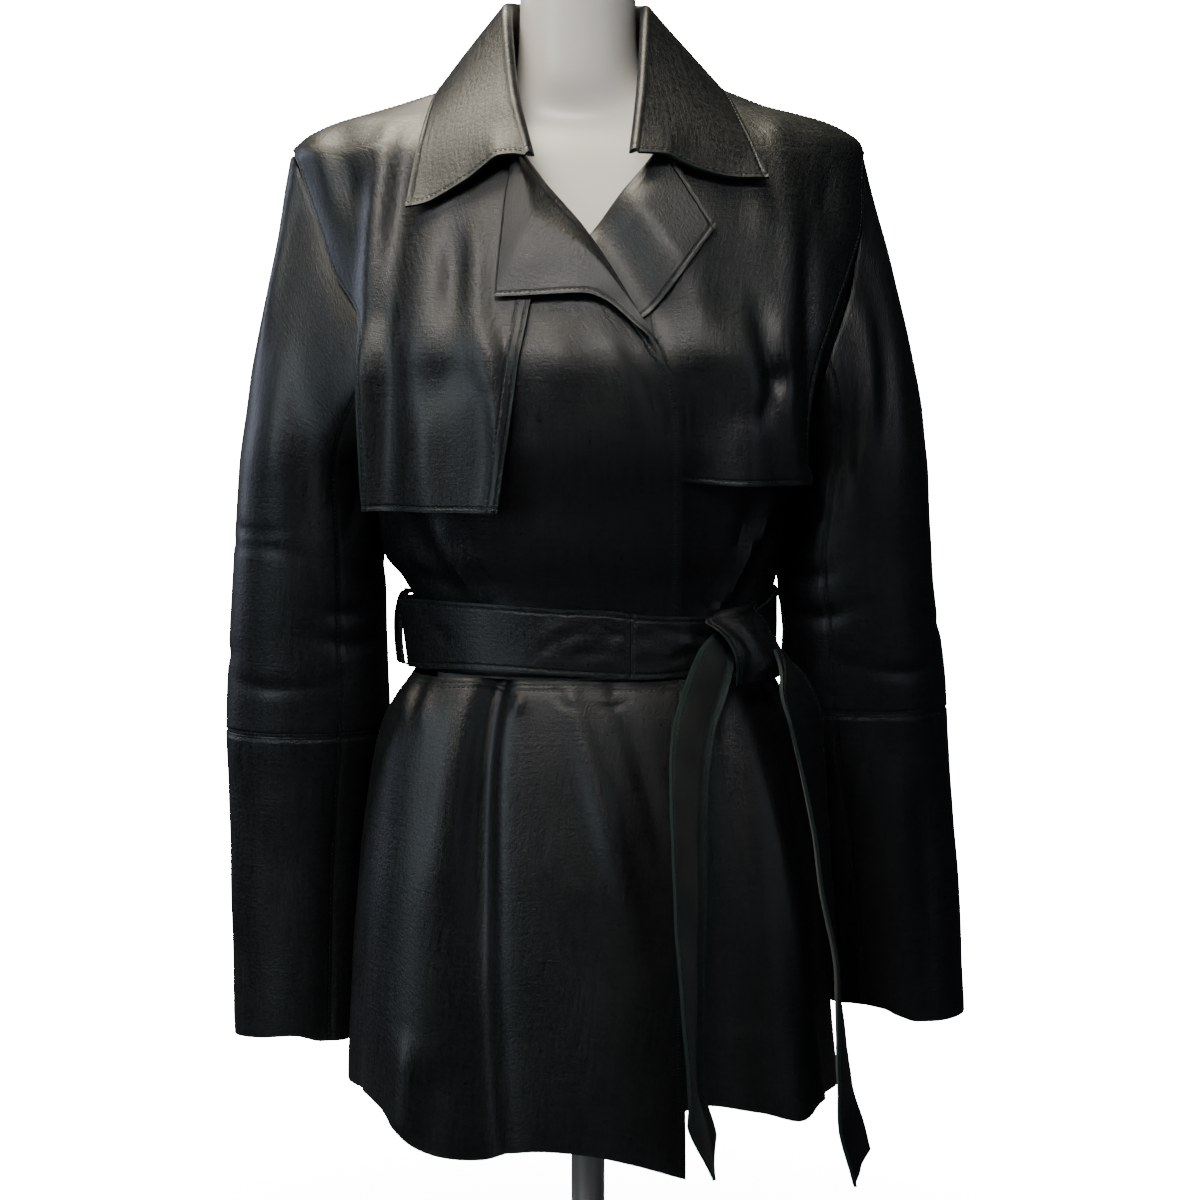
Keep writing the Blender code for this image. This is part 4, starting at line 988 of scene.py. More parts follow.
def stitches(name, rows):
    """Joined stitches along lines; ticks lie across theirs, and all sink in at their ends."""
    rings, sides = len(STITCH), STITCH_SIDES
    index = np.arange(rings * sides).reshape(rings, sides)
    after = np.roll(index, -1, axis=1)
    one = [tuple(corners) for j in range(rings - 1)
           for corners in zip(index[j], index[j + 1], after[j + 1], after[j])]
    one += [tuple(index[0]), tuple(index[-1][::-1])]
    turn = (2 * math.pi * np.arange(sides) / sides)[:, None]
    share, thick = STITCH.T
    verts, faces, start = [], [], 0
    for line, out, size, across in rows:
        run = lengths_along(line)
        total = max(int(run[-1] / size["pitch"]), 1)
        at = (np.arange(total) + 0.5) * run[-1] / total
        place, facing, ahead, behind = (
            np.stack([np.interp(where, run, values[:, k]) for k in range(3)], axis=-1)
            for where, values in ((at, line), (at, out), (at + 0.001, line), (at - 0.001, line)))
        facing, along = unit(facing), unit(ahead - behind)
        beside = unit(np.cross(facing, along))
        if across:
            along, beside = beside, -along
        along = unit(along + beside * STITCH_SWAY * np.sin(at * STITCH_WAVE)[:, None])
        radius = size["radius"]
        reach = (0.5 * size["length"] * share)[:, None]
        sink = (radius * (0.25 - 0.9 * np.abs(share) ** 3))[:, None]
        middle = place[:, None] + along[:, None] * reach + facing[:, None] * sink
        spread = beside[:, None] * np.cos(turn) + facing[:, None] * np.sin(turn)
        verts.append(middle[:, :, None] + spread[:, None] * (radius * thick)[:, None, None])
        for _ in range(total):
            faces += [tuple(int(k) + start for k in corners) for corners in one]
            start += rings * sides
    mesh = mesh_from(name, np.concatenate([part.reshape(-1, 3) for part in verts]), faces)
    shape = bmesh.new()
    shape.from_mesh(mesh)
    bmesh.ops.recalc_face_normals(shape, faces=shape.faces)
    shape.to_mesh(mesh)
    shape.free()
    mesh.shade_smooth()
    return settle(add_object(name, mesh, [thread()]))


def stitched_rows(grid, rows, lift):
    """Rows of stitches inside the edges of a grid: (edge, inset, first, last, size)."""
    made = []
    for edge, inset, first, last, size in rows:
        line, out = line_inside(grid, edge, inset)
        run = lengths_along(line) / lengths_along(line)[-1]
        keep = (run >= first) & (run <= last)
        line, out = line[keep] + out[keep] * (lift + STITCH_LIFT), out[keep]
        made.append((line, out, size, size is TICK))
    return made


def finish_sheet(name, grids, specs=None, thickness=CLOTH, finishes=None, outward=False):
    """Makes, covers and stitches one cloth piece, each grid by its own spec."""
    specs = specs or [SPEC[name]]
    finishes = finishes or [grain_leather(), flesh_leather(), cut_edge()]
    rolled = [seam_roll(grid, spec["sewn"]) if spec.get("sewn") else grid
              for grid, spec in zip(grids, specs)]
    piece = cloth(name + "_sewn", rolled, thickness, finishes, specs, outward)
    settle(piece, name)
    lines = []
    for grid, spec in zip(rolled, specs):
        lines += stitched_rows(grid, spec.get("stitch", ()), thickness if outward else 0.0)
    extra = [stitches("stitches_" + name, lines)] if lines else []
    width, length, area = CUT[name]
    specs[0].get("held", "hung")
    return piece


# ---------------------------------------------------------------- shared effects
def feed(tree, node, values):
    """Sets a node's inputs, each to a value or to the output of another node."""
    for key, value in values.items():
        if isinstance(value, bpy.types.NodeSocket):
            tree.links.new(value, node.inputs[key])
        else:
            node.inputs[key].default_value = value
    return node


def put(tree, kind, values=None, **settings):
    made = tree.nodes.new(kind)
    for label, value in settings.items():
        setattr(made, label, value)
    return feed(tree, made, values or {})


def maths(tree, operation, *values):
    return put(tree, "ShaderNodeMath", dict(enumerate(values)), operation=operation).outputs[0]


def vector_maths(tree, operation, *values, output=0):
    made = put(tree, "ShaderNodeVectorMath", dict(enumerate(values)), operation=operation)
    return made.outputs[output]


def noise_of(tree, vector, scale, detail=3.0, roughness=0.55):
    values = {"Vector": vector, "Scale": scale, "Detail": detail, "Roughness": roughness}
    return put(tree, "ShaderNodeTexNoise", values).outputs["Fac"]


def streaks_of(tree, vector, scale):
    """Noise drawn out along one way of the map."""
    long = put(tree, "ShaderNodeMapping", {"Vector": vector, "Scale": scale}).outputs[0]
    return noise_of(tree, long, 1.0, 4.0, 0.7)


def mixed(tree, share, first, second):
    """A colour between two; inputs 6 and 7 and output 2 are the node's colours."""
    values = {0: share, 6: first, 7: second}
    return put(tree, "ShaderNodeMix", values, data_type="RGBA").outputs[2]


def ranged(tree, value, low, high, to_low=0.0, to_high=1.0, kind="LINEAR"):
    values = {"Value": value, "From Min": low, "From Max": high,
              "To Min": to_low, "To Max": to_high}
    return put(tree, "ShaderNodeMapRange", values, interpolation_type=kind).outputs[0]


def bumped(tree, height, strength, distance, **under):
    values = {"Height": height, "Strength": strength, "Distance": distance, **under}
    return put(tree, "ShaderNodeBump", values).outputs[0]


def effect(inputs):
    """A node group made at first use, from a function that returns its outputs."""
    def wrap(build):
        @functools.wraps(build)
        def found():
            group = bpy.data.node_groups.get(build.__name__)
            if group:
                return group
            group = bpy.data.node_groups.new(build.__name__, "ShaderNodeTree")
            new_socket = group.interface.new_socket
            new_socket(name="Vector", in_out="INPUT", socket_type="NodeSocketVector")
            for label, default in inputs.items():
                made = new_socket(name=label, in_out="INPUT", socket_type="NodeSocketFloat")
                made.default_value = default
            start = group.nodes.new("NodeGroupInput")
            outputs = build(group, *start.outputs[:len(inputs) + 1])
            for label in outputs:
                new_socket(name=label, in_out="OUTPUT", socket_type="NodeSocketFloat")
            feed(group, group.nodes.new("NodeGroupOutput"), outputs)
            return group
        return found
    return wrap


def apply_effect(tree, group, vector, **values):
    """The outputs of a group, whose inputs are named with _ for a space."""
    named = {label.replace("_", " "): value for label, value in values.items()}
    made = put(tree, "ShaderNodeGroup", {"Vector": vector, **named}, node_tree=group)
    return made.outputs


@effect({"Cells per metre": 900.0})
def leather_grain(tree, vector, cells):
    """Fine pebbled grain of smooth leather, with its pores."""
    warp = put(tree, "ShaderNodeTexNoise", {"Vector": vector, "Scale": 260.0})
    shift = vector_maths(tree, "MULTIPLY", warp.outputs["Color"], (0.0011, 0.0011, 0.0011))
    values = {"Vector": vector_maths(tree, "ADD", vector, shift), "Scale": cells}
    pebbles = put(tree, "ShaderNodeTexVoronoi", values, feature="DISTANCE_TO_EDGE")
    domes = ranged(tree, pebbles.outputs["Distance"], 0.0, 0.28, kind="SMOOTHSTEP")
    fine = noise_of(tree, vector, 2600.0, 2.0)
    return {"Height": maths(tree, "MULTIPLY_ADD", fine, 0.45, domes),
            "Pores": maths(tree, "SUBTRACT", 1.0, domes)}


@effect({"Across": 0.5})
def brushed_streaks(tree, vector, share_across):
    """Fine brushed lines down the hide and fainter ones across it."""
    down = streaks_of(tree, vector, (330.0, 30.0, 60.0))
    across = streaks_of(tree, vector, (34.0, 380.0, 60.0))
    where = ranged(tree, noise_of(tree, vector, 30.0, 2.0), 0.35, 0.65)
    share = maths(tree, "MULTIPLY", where, share_across)
    streaks = put(tree, "ShaderNodeMix", {"Factor": share, "A": down, "B": across}).outputs[0]
    mottle = noise_of(tree, vector, 380.0, 3.0, 0.7)
    half = maths(tree, "MULTIPLY", streaks, 0.5)
    broken = maths(tree, "MULTIPLY_ADD", mottle, 0.5, half)
    return {"Streaks": ranged(tree, broken, 0.36, 0.64),
            "Patches": noise_of(tree, vector, 14.0, 3.0, 0.6)}


@effect({"Distance": 1.0, "Width": 0.002})
def edge_wear(tree, vector, distance, width):
    """Rubbed places: along an edge, broken up, and on scattered spots."""
    rough = maths(tree, "MULTIPLY", noise_of(tree, vector, 420.0), 2.0)
    near = maths(tree, "DIVIDE", distance, maths(tree, "MULTIPLY", width, rough))
    return {"Mask": ranged(tree, near, 0.2, 1.0, 1.0, 0.0, "SMOOTHSTEP"),
            "Scuffs": ranged(tree, noise_of(tree, vector, 95.0, 6.0, 0.75), 0.62, 0.78)}


@effect({"Distance": 1.0})
def stitch_pucker(tree, vector, distance):
    """The groove that a row of stitches pulls into the hide."""
    width = ranged(tree, noise_of(tree, vector, 130.0, 2.0), 0.3, 0.7, 0.0012, 0.0026)
    near = maths(tree, "DIVIDE", distance, width)
    return {"Height": ranged(tree, near, 0.0, 1.0, -1.0, 0.0, "SMOOTHSTEP")}


# ---------------------------------------------------------------- finishes
def finish(build):
    """A material made at first use, from a function that returns its shader's inputs."""
    @functools.wraps(build)
    def found():
        made = bpy.data.materials.get(build.__name__)
        if made is None:
            made = bpy.data.materials.new(build.__name__)
            made.use_nodes = True
            tree = made.node_tree
            feed(tree, tree.nodes["Principled BSDF"], build(tree))
        return made
    return found


def attribute(tree, name):
    return put(tree, "ShaderNodeAttribute", attribute_name=name).outputs["Fac"]


def cloth_map(tree):
    return put(tree, "ShaderNodeUVMap", uv_map="cloth_map").outputs[0]


def object_place(tree):
    return put(tree, "ShaderNodeTexCoord").outputs["Object"]


def four(colour):
    return (*colour, 1.0)


@finish
def grain_leather(tree):
    """The outer face: near black with a bottle-green cast, brushed, satin gloss."""
    look, place = bpy.context.scene.jacket_leather, cloth_map(tree)
    grain = apply_effect(tree, leather_grain(), place, Cells_per_metre=look.grain)
    streaks = apply_effect(tree, brushed_streaks(), place, Across=0.75)
    wear = apply_effect(tree, edge_wear(), place, Width=0.0026,
                        Distance=attribute(tree, "edge_far"))
    pucker = apply_effect(tree, stitch_pucker(), place, Distance=attribute(tree, "stitch_far"))
    patch = ranged(tree, streaks["Patches"], 0.3, 0.7)
    colour = mixed(tree, patch, four(look.colour), four(look.colour_patch))
    colour = mixed(tree, streaks["Streaks"], colour, four(look.colour_streak))
    scuff = maths(tree, "MULTIPLY", wear["Scuffs"], 0.35)
    colour = mixed(tree, scuff, colour, four(look.colour_streak))
    worn = maths(tree, "MULTIPLY", wear["Mask"], 0.16)
    rough = ranged(tree, streaks["Streaks"], 0.0, 1.0,
                   look.roughness - 0.12, look.roughness + 0.15)
    rough = maths(tree, "MULTIPLY_ADD", patch, -0.05, rough)
    pebbles = maths(tree, "MULTIPLY", grain["Height"], 0.06)
    lines = maths(tree, "MULTIPLY_ADD", streaks["Streaks"], 0.8, pebbles)
    fine = bumped(tree, lines, 0.65, 0.00046)
    return {
        "Base Color": mixed(tree, worn, colour, four(look.colour_edge)),
        "Roughness": maths(tree, "MULTIPLY_ADD", grain["Pores"], 0.10, rough),
        "Specular IOR Level": 0.62,
        "Coat Weight": 0.16,
        "Coat Roughness": 0.30,
        "Normal": bumped(tree, pucker["Height"], 0.9, 0.00055, Normal=fine),
    }


@finish
def flesh_leather(tree):
    """The inner face: matt, fibrous and greener than the grain side."""
    look, place = bpy.context.scene.jacket_leather, cloth_map(tree)
    streaks = apply_effect(tree, brushed_streaks(), place, Across=0.35)
    wear = apply_effect(tree, edge_wear(), place, Width=0.0085,
                        Distance=attribute(tree, "edge_far"))
    fibres = noise_of(tree, place, 1500.0, 5.0, 0.7)
    patch = ranged(tree, streaks["Patches"], 0.3, 0.7)
    colour = mixed(tree, patch, four(look.colour_flesh), four(look.colour_flesh_worn))
    nap = ranged(tree, fibres, 0.35, 0.7, 0.0, 0.5)
    colour = mixed(tree, nap, colour, four(look.colour_flesh_worn))
    worn = maths(tree, "MULTIPLY", wear["Mask"], 0.8)
    return {
        "Base Color": mixed(tree, worn, colour, four(look.colour_edge)),
        "Roughness": ranged(tree, fibres, 0.3, 0.7, 0.62, 0.85),
        "Sheen Weight": 0.25,
        "Sheen Roughness": 0.5,
        "Normal": bumped(tree, fibres, 0.55, 0.00025),
    }


@finish
def cut_edge(tree):
    """The raw edge, where the dyed fibres show between the two faces."""
    look, place = bpy.context.scene.jacket_leather, object_place(tree)
    far = attribute(tree, "edge_far")
    fibres = noise_of(tree, place, 1900.0, 4.0, 0.7)
    wear = apply_effect(tree, edge_wear(), place, Distance=far)
    colour = mixed(tree, ranged(tree, fibres, 0.3, 0.7), four(look.colour_flesh),
                   four(look.colour_edge))
    colour = mixed(tree, ranged(tree, far, 0.0008, 0.003), colour, four(look.colour))
    scuff = maths(tree, "MULTIPLY", wear["Scuffs"], 0.5)
    return {
        "Base Color": mixed(tree, scuff, colour, four(look.colour_flesh_worn)),
        "Roughness": ranged(tree, fibres, 0.3, 0.7, 0.55, 0.8),
        "Normal": bumped(tree, fibres, 0.5, 0.0002),
    }


@finish
def thread(tree):
    look, place = bpy.context.scene.jacket_leather, object_place(tree)
    values = {"Vector": place, "Scale": 700.0, "Distortion": 2.0}
    twist = put(tree, "ShaderNodeTexWave", values).outputs["Fac"]
    shade = noise_of(tree, place, 300.0, 2.0)
    return {
        "Base Color": mixed(tree, shade, four(look.colour_thread), four(look.colour_edge)),
        "Roughness": ranged(tree, twist, 0.0, 1.0, 0.42, 0.6),
        "Normal": bumped(tree, twist, 0.5, 0.0001),
    }


@finish
def form_shell(tree):
    """Sprayed gloss shell of the form: ivory white with a faint orange peel."""
    look, place = bpy.context.scene.jacket_form, object_place(tree)
    cloud = noise_of(tree, place, 9.0)
    return {
        "Base Color": mixed(tree, ranged(tree, cloud, 0.3, 0.7), four(look.shell),
                            four(look.shell_shade)),
        "Roughness": ranged(tree, cloud, 0.3, 0.7, 0.16, 0.24),
        "Coat Weight": 0.6,
        "Coat Roughness": 0.08,
        "Normal": bumped(tree, noise_of(tree, place, 420.0, 2.0, 0.4), 0.12, 0.0002),
    }


@finish
def stand_metal(tree):
    """Brushed steel, its lines round the axis, a little dulled by handling."""
    look, place = bpy.context.scene.jacket_form, object_place(tree)
    level = vector_maths(tree, "MULTIPLY", place, (1.0, 1.0, 0.0))
    radius = vector_maths(tree, "LENGTH", level, output="Value")
    height = put(tree, "ShaderNodeSeparateXYZ", {"Vector": place}).outputs["Z"]
    flat = put(tree, "ShaderNodeCombineXYZ", {"X": radius, "Z": height}).outputs[0]
    smears = noise_of(tree, place, 22.0, 4.0, 0.65)
    return {
        "Base Color": mixed(tree, smears, four(look.steel), four(look.steel_dull)),
        "Metallic": 1.0,
        "Roughness": ranged(tree, smears, 0.3, 0.7, 0.24, 0.38),
        "Normal": bumped(tree, noise_of(tree, flat, 2400.0, 3.0, 0.7), 0.2, 0.0001),
    }


@finish
def floor_paper(tree):
    """Pale paper that fades out before its rim, and gives off little light of its own."""
    seen = put(tree, "ShaderNodeLightPath").outputs["Is Camera Ray"]
    away = vector_maths(tree, "LENGTH", object_place(tree), output="Value")
    return {
        "Base Color": mixed(tree, seen, (0.12, 0.13, 0.15, 1.0), (0.85, 0.85, 0.84, 1.0)),
        "Roughness": 0.75,
        "Alpha": ranged(tree, away, 0.22, 1.1, 0.55, 0.0, "SMOOTHSTEP"),
    }


# ---------------------------------------------------------------- bodice
LEVEL_ANGLE = 62          # where the rows of the bodice are evenly spaced
PANEL_COLUMNS = {"front": 62, "back": 52, "flap": 48}
UNEVEN = {
    # size, depth and seed of the slow unevenness of each kind of piece
    "front": (0.055, 0.0007, 3.1), "back": (0.055, 0.0007, 5.7),
    "lapel": (0.035, 0.0009, 2.2), "collar": (0.05, 0.0005, 7.7),
    "skirt": (0.06, 0.0009, 4.4), "sleeve": (0.045, 0.0009, 6.1),
    "belt": (0.03, 0.0006, 1.9), "tail": (0.03, 0.0010, 8.2), "knot": (0.018, 0.0006, 5.5),
}


def uneven(grid, kind):
    """The slow unevenness that no hide is without."""
    size, depth, seed = UNEVEN[kind]
    flat = grid.reshape(-1, 3) / size + seed
    values = np.array([noise.noise(Vector(point)) for point in flat])
    return depth * values.reshape(grid.shape[:-1])


def creased(grid, height, kind):
    return raised(grid, height + uneven(grid, kind))


def side_gap(z):
    """Half of a seam's open line, in degrees of the ring."""
    seam = SHOULDER_SEAM if z >= ARMHOLE[-1, 0] else SEAM
    return math.degrees(0.5 * seam / read(BODICE, z)[0])


def armhole_angle(side, z, back=False):
    """The angle at which the armhole, side seam or shoulder seam bounds a panel."""
    top_z = ARMHOLE[-1, 0]
    x = read(ARMHOLE, z)[COLUMN[side]]
    if back:
        share = np.clip((z - UNDERARM_Z) / (top_z - UNDERARM_Z), 0.0, 1.0)
        x = x + ARMHOLE_BACK_WIDER * np.sin(math.pi * share)
    x = np.minimum(x, read(BODICE, z)[COLUMN[side]])
    inside = (np.asarray(z) > UNDERARM_Z + SEAM) & (np.asarray(z) < top_z)
    return np.where(inside, np.abs(angle_at(BODICE, z, x * SIGN[side], back)), 90.0)


def bodice_levels(side):
    return even_levels(bodice_bare, LEVEL_ANGLE * SIGN[side], WAIST_Z + SEAM, NECK_TOP_Z)


def front_grid(side):
    """A front, with the lower parts of the creases of the flap that lies on it."""
    sign = SIGN[side]

    def bounds(z):
        edge_x = read(FRONT_EDGE, z)[0] - ROLL_HIDES * blend(BREAK_Z, BREAK_Z + BREAK_SOFT, z)
        inner = angle_at(BODICE, z, edge_x * -sign)
        return inner, sign * (armhole_angle(side, z) - side_gap(z))

    angles, heights = panel(bodice_bare, bodice_levels(side), PANEL_COLUMNS["front"],
                            bounds, side == "right")
    x = bodice_bare(angles, heights)[..., 0]
    lift = -TUCK * tuck(x, heights) if side == "left" else np.zeros(angles.shape)
    height = relief(CREASES["front_" + side], x, heights)
    above = relief(CREASES["storm_flap_" + side], x, heights)
    height += np.minimum(above, 0.0) * blend(*FOLLOWS_Z, heights)
    return creased(lifted(bodice_bare, angles, heights, lift), height, "front")


def back_grids():
    """Two halves, sharing the centre line below the nape."""
    levels = bodice_levels("left")
    levels[np.argmin(np.abs(levels - NAPE_Z))] = NAPE_Z
    grids = []
    for side, sign in SIGN.items():
        def bounds(z):
            inner = sign * 180.0
            if z > NAPE_Z:
                inner = angle_at(BODICE, z, sign * read(NAPE_EDGE, z)[0], back=True)
            return inner, sign * (armhole_angle(side, z, back=True) + side_gap(z))

        angles, heights = panel(bodice_bare, levels, PANEL_COLUMNS["back"],
                                bounds, side == "left")
        grid = bodice_bare(angles, heights)
        height = relief(CREASES["back"], grid[..., 0], heights) + uneven(grid, "back")
        grids.append(lifted(bodice_bare, angles, heights, height))
    return grids


def flap_grid(side):
    rows, sign, column = FLAP[side], SIGN[side], COLUMN[side]
    levels = even_levels(flap_bare, LEVEL_ANGLE * sign, rows[0, 0], FLAP_TOP_Z)

    def bounds(z):
        inner_x, outer_x = read(rows, z)
        size_z = flap_size_z(z)
        if z > rows[-1, 0]:
            inner_x = abs(read(FRONT_EDGE, z)[0]) + FLAP_NECK_GAP
        outer = angle_at(BODICE, size_z, sign * min(outer_x, read(BODICE, size_z)[column]))
        if z >= ARMHOLE[-1, 0]:
            outer = sign * (90.0 - side_gap(z))
        return angle_at(BODICE, size_z, sign * inner_x), outer

    angles, heights = panel(flap_bare, levels, PANEL_COLUMNS["flap"],
                            bounds, side == "right")
    x = flap_bare(angles, heights)[..., 0]
    lift = FLAP_LIFT + (FLAP_SEWN_LIFT - FLAP_LIFT) * blend(*FLAP_SEWN_Z, heights)
    if side == "left":
        lift = lift - FLAP_TUCK * tuck(x, heights)
    else:
        outer_x = np.minimum(read(rows, heights)[1], read(BODICE, flap_size_z(heights))[column])
        free = 1.0 - blend(*FLAP_STAND_Z, heights)
        lift = lift + FLAP_STAND * free * blend(FLAP_STAND_FROM, outer_x, np.abs(x))
    grid = lifted(flap_bare, angles, heights, lift)
    return creased(grid, relief(CREASES["storm_flap_" + side], x, heights), "front")


def lapel_point(side, down, across):
    """Points of the turned-back facing: down the roll line, across to its edge."""
    roll_z = GORGE_Z[side] + (BREAK_Z - GORGE_Z[side]) * down
    roll_x = read(FRONT_EDGE, roll_z)[0] * -SIGN[side]
    edge_x, edge_z = read(LAPEL[side], down)
    x = roll_x + (edge_x - roll_x) * across
    z = roll_z + (edge_z - roll_z) * across
    lift, free, covered = read(LAPEL_LIFT, across)
    if side == "left":
        lift = free + (covered - free) * tuck(x, z)
    return lifted(bodice_bare, angle_at(BODICE, z, x), z, lift)


def lapel_grid(side):
    """The facing rolls round the front's edge, then lies back on the front."""
    dense = np.linspace(0.0, LAPEL_CORNER, 22)[:-1]
    rest = LAPEL_CORNER + (LAPEL_LAST - LAPEL_CORNER) * spaced(56, 0.4)
    stations = np.concatenate([dense, rest])
    down, across = np.meshgrid(stations, spaced(46, 0.4), indexing="ij")
    face = lapel_point(side, down, across)
    angle = np.degrees(np.arctan2(face[:, 0, 0], RIDGE_Y - face[:, 0, 1]))
    out = facing_of(bodice_bare, angle, face[:, 0, 2])
    span = np.linalg.norm(face[:, -1] - face[:, 0], axis=-1)
    radius = np.minimum(ROLL_RADIUS, ROLL_SHARE * span)[:, None]
    start = np.array([np.interp(radius[i, 0], run, across[i])
                      for i, run in enumerate(distance_from(face, "first"))])[:, None]
    face = lapel_point(side, down, start + (1 - start) * across)
    top = face[:, 0]
    outward = unit(lapel_point(side, down[:, 0], np.zeros(len(down))) - top)
    outward = unit(outward - out * np.sum(outward * out, axis=-1, keepdims=True))
    turn = np.radians(ROLL_TURNS)[:, None, None]
    roll = top + radius * (out * (np.sin(turn) - 1) + outward * np.cos(turn) * ROLL_WIDE)
    grid = np.concatenate([np.swapaxes(roll, 0, 1), face], axis=1)
    return creased(grid if side == "right" else grid[:, ::-1], 0.0, "lapel")


# ---------------------------------------------------------------- collar
def collar_profile(side, along):
    """The section of the collar: up the stand, over the fold and down the leaf."""
    x, y, z, edge_x, edge_y, edge_z, neck_angle, neck_z = read(COLLAR[side], along)
    sign = SIGN[side]
    roll, edge = np.array((sign * x, y, z)), np.array((sign * edge_x, edge_y, edge_z))
    seam = bodice_bare(sign * neck_angle, neck_z)
    level = np.array((1.0, 1.0, 0.0))
    seam = seam + unit((np.array((FORM_NECK_X, RIDGE_Y, 0.0)) - seam) * level) * COLLAR_INSIDE
    out = unit((edge - seam) * level)
    down = np.array((0.0, 0.0, -COLLAR_ROLL))
    stand_top = roll - out * COLLAR_ROLL + down
    leaf_top = roll + out * COLLAR_ROLL + down
    fall = edge - leaf_top
    puff = out * COLLAR_PUFF * np.linalg.norm(fall)
    share = np.array(COLLAR_STATIONS)[:, None]
    rise = (1.0 - blend(0.0, COLLAR_CORNER, along)) * read(COLLAR_END[side], share[:, 0])[0]
    leaf = leaf_top + fall * share + puff * np.sin(math.pi * share) + points(0, 0, rise)
    return np.vstack([seam, 0.5 * (seam + stand_top), stand_top, roll, leaf_top, leaf])


def collar_grid():
    stations = spaced(78, 0.35)
    half = stations[stations <= 0.5] * 2
    lines = [collar_profile("right", along) for along in half]
    lines += [collar_profile("left", along) for along in half[::-1]]
    rows = []
    for line in lines:
        run = lengths_along(line)
        at = np.concatenate([np.linspace(0.0, run[2], 17)[:-1],
                             np.linspace(run[2], run[4], 7)[:-1],
                             run[4] + (run[-1] - run[4]) * spaced(40, 0.5)])
        rows.append(np.stack(read(np.column_stack([run, line]), at), axis=-1))
    return creased(np.array(rows)[:, ::-1], 0.0, "collar")


# ---------------------------------------------------------------- skirt
def skirt_grid(piece):
    """A skirt piece: along from its side seam, down from the waist."""
    down, along = np.meshgrid(spaced(96, 0.5)[::-1], spaced(SKIRT_COLUMNS[piece], 0.4),
                              indexing="ij")
    top_z = WAIST_Z - SEAM
    z = top_z + (read(HEM[piece], along)[0] - top_z) * down
    gap = math.degrees(0.5 * SEAM / SKIRT_REACH)
    lift = np.zeros(z.shape)
    if piece == "back":
        angle = 90 + gap + (180 - 2 * gap) * along
    else:
        side_angle = SIGN[piece] * (90 - gap)
        edge_angle = angle_at(SKIRT, z, np.full(z.shape, SKIRT_EDGE_X[piece]))
        angle = side_angle + (edge_angle - side_angle) * along
    if piece == "left":
        lift = -SKIRT_TUCK * tuck(skirt_bare(angle, z)[..., 0], z)
    grid = lifted(skirt_bare, angle, z, lift)
    height = relief(SKIRT_CREASES[piece], angle, z, SKIRT_DEGREE)
    if piece == "left":
        grid, height = grid[:, ::-1], height[:, ::-1]
    return creased(grid, height, "skirt")


# ---------------------------------------------------------------- sleeves
def sleeve_ring(side, z, turn):
    """Points of the sleeve's tube: turn 0 is its outermost line, 90 its front."""
    x, y, half_width, half_depth = read(SLEEVE[side], z)
    across, along = np.cos(np.radians(turn)), np.sin(np.radians(turn))
    power = 2 / SLEEVE_SQUARE
    across = np.copysign(np.abs(across) ** power, across)
    along = np.copysign(np.abs(along) ** power, along)
    return points(x + SIGN[side] * half_width * across, y - half_depth * along, z)


def sleeve_bare(side, level, turn):
    """Level 0 is the armhole, 1 the top of the tube, 2 the elbow and 3 the cuff."""
    head = np.full(turn.shape, SLEEVE_HEAD_Z)
    if level >= 1.0:
        heights = (SLEEVE_HEAD_Z, ELBOW_Z[side], SLEEVE[side][0, 0])
        return sleeve_ring(side, np.full(turn.shape, np.interp(level, (1, 2, 3), heights)), turn)
    sign = SIGN[side]
    turn = np.mod(turn, 360)
    cosine, sine = np.cos(np.radians(turn)), np.sin(np.radians(turn))
    top_z, low_z = ARMHOLE[-1, 0], UNDERARM_Z
    z = 0.5 * (top_z + low_z) + 0.5 * (top_z - low_z) * cosine
    angle = np.where(turn > 180, armhole_angle(side, z, back=True), armhole_angle(side, z))
    start = bodice_bare(sign * angle, z) + points(sign * ARMHOLE_GAP, 0, 0)
    end = sleeve_ring(side, head, turn)
    span = np.linalg.norm(end - start, axis=-1, keepdims=True)
    outward = 0.5 * SLEEVE_DROP[side] * (1 + cosine) + SLEEVE_FULL * sine * sine
    leave = unit(points(sign * outward, -SLEEVE_FORWARD * sine, -1.0)) * span
    arrive = unit(sleeve_ring(side, head - 0.02, turn) - end) * span
    return hermite(start, leave, end, arrive, level)


def sleeve_grid(side, levels, first, last, columns):
    gap = math.degrees(0.5 * SEAM / SLEEVE_REACH)
    turn = first + gap + (last - first - 2 * gap) * spaced(columns, 0.5)
    grid = np.array([sleeve_bare(side, level, turn) for level in levels[::-1]])
    turns = np.broadcast_to(turn, grid.shape[:2])
    z = grid[..., 2].copy()
    cuff_z = SLEEVE[side][0, 0]
    grid[..., 2] += read(CUFF[side], turns)[0] * (1.0 - blend(cuff_z, cuff_z + CUFF_FADES, z))
    height = sum(relief(SLEEVE_CREASES[side], turns + shift, z, SLEEVE_DEGREE)
                 for shift in (0, -360, 360))
    if side == "left":
        grid, height = grid[:, ::-1], height[:, ::-1]
    return creased(grid, height, "sleeve")


def sleeve_grids(side):
    """Names and grids of the four pieces of a sleeve."""
    gap = 0.5 * SEAM / (SLEEVE_HEAD_Z - ELBOW_Z[side])
    front, back = SLEEVE_FRONT_SEAM, SLEEVE_BACK_SEAM
    parts = {"upper": (2.0 - gap) * spaced(116, 0.25),
             "lower": 2.0 + gap + (1.0 - gap) * spaced(62, 0.5)}
    for part, levels in parts.items():
        top = sleeve_grid(side, levels, back - 360, front, SLEEVE_COLUMNS["top"])
        under = sleeve_grid(side, levels, front, back, SLEEVE_COLUMNS["under"])
        yield f"top_sleeve_{part}_{side}", top
        yield f"under_sleeve_{part}_{side}", under


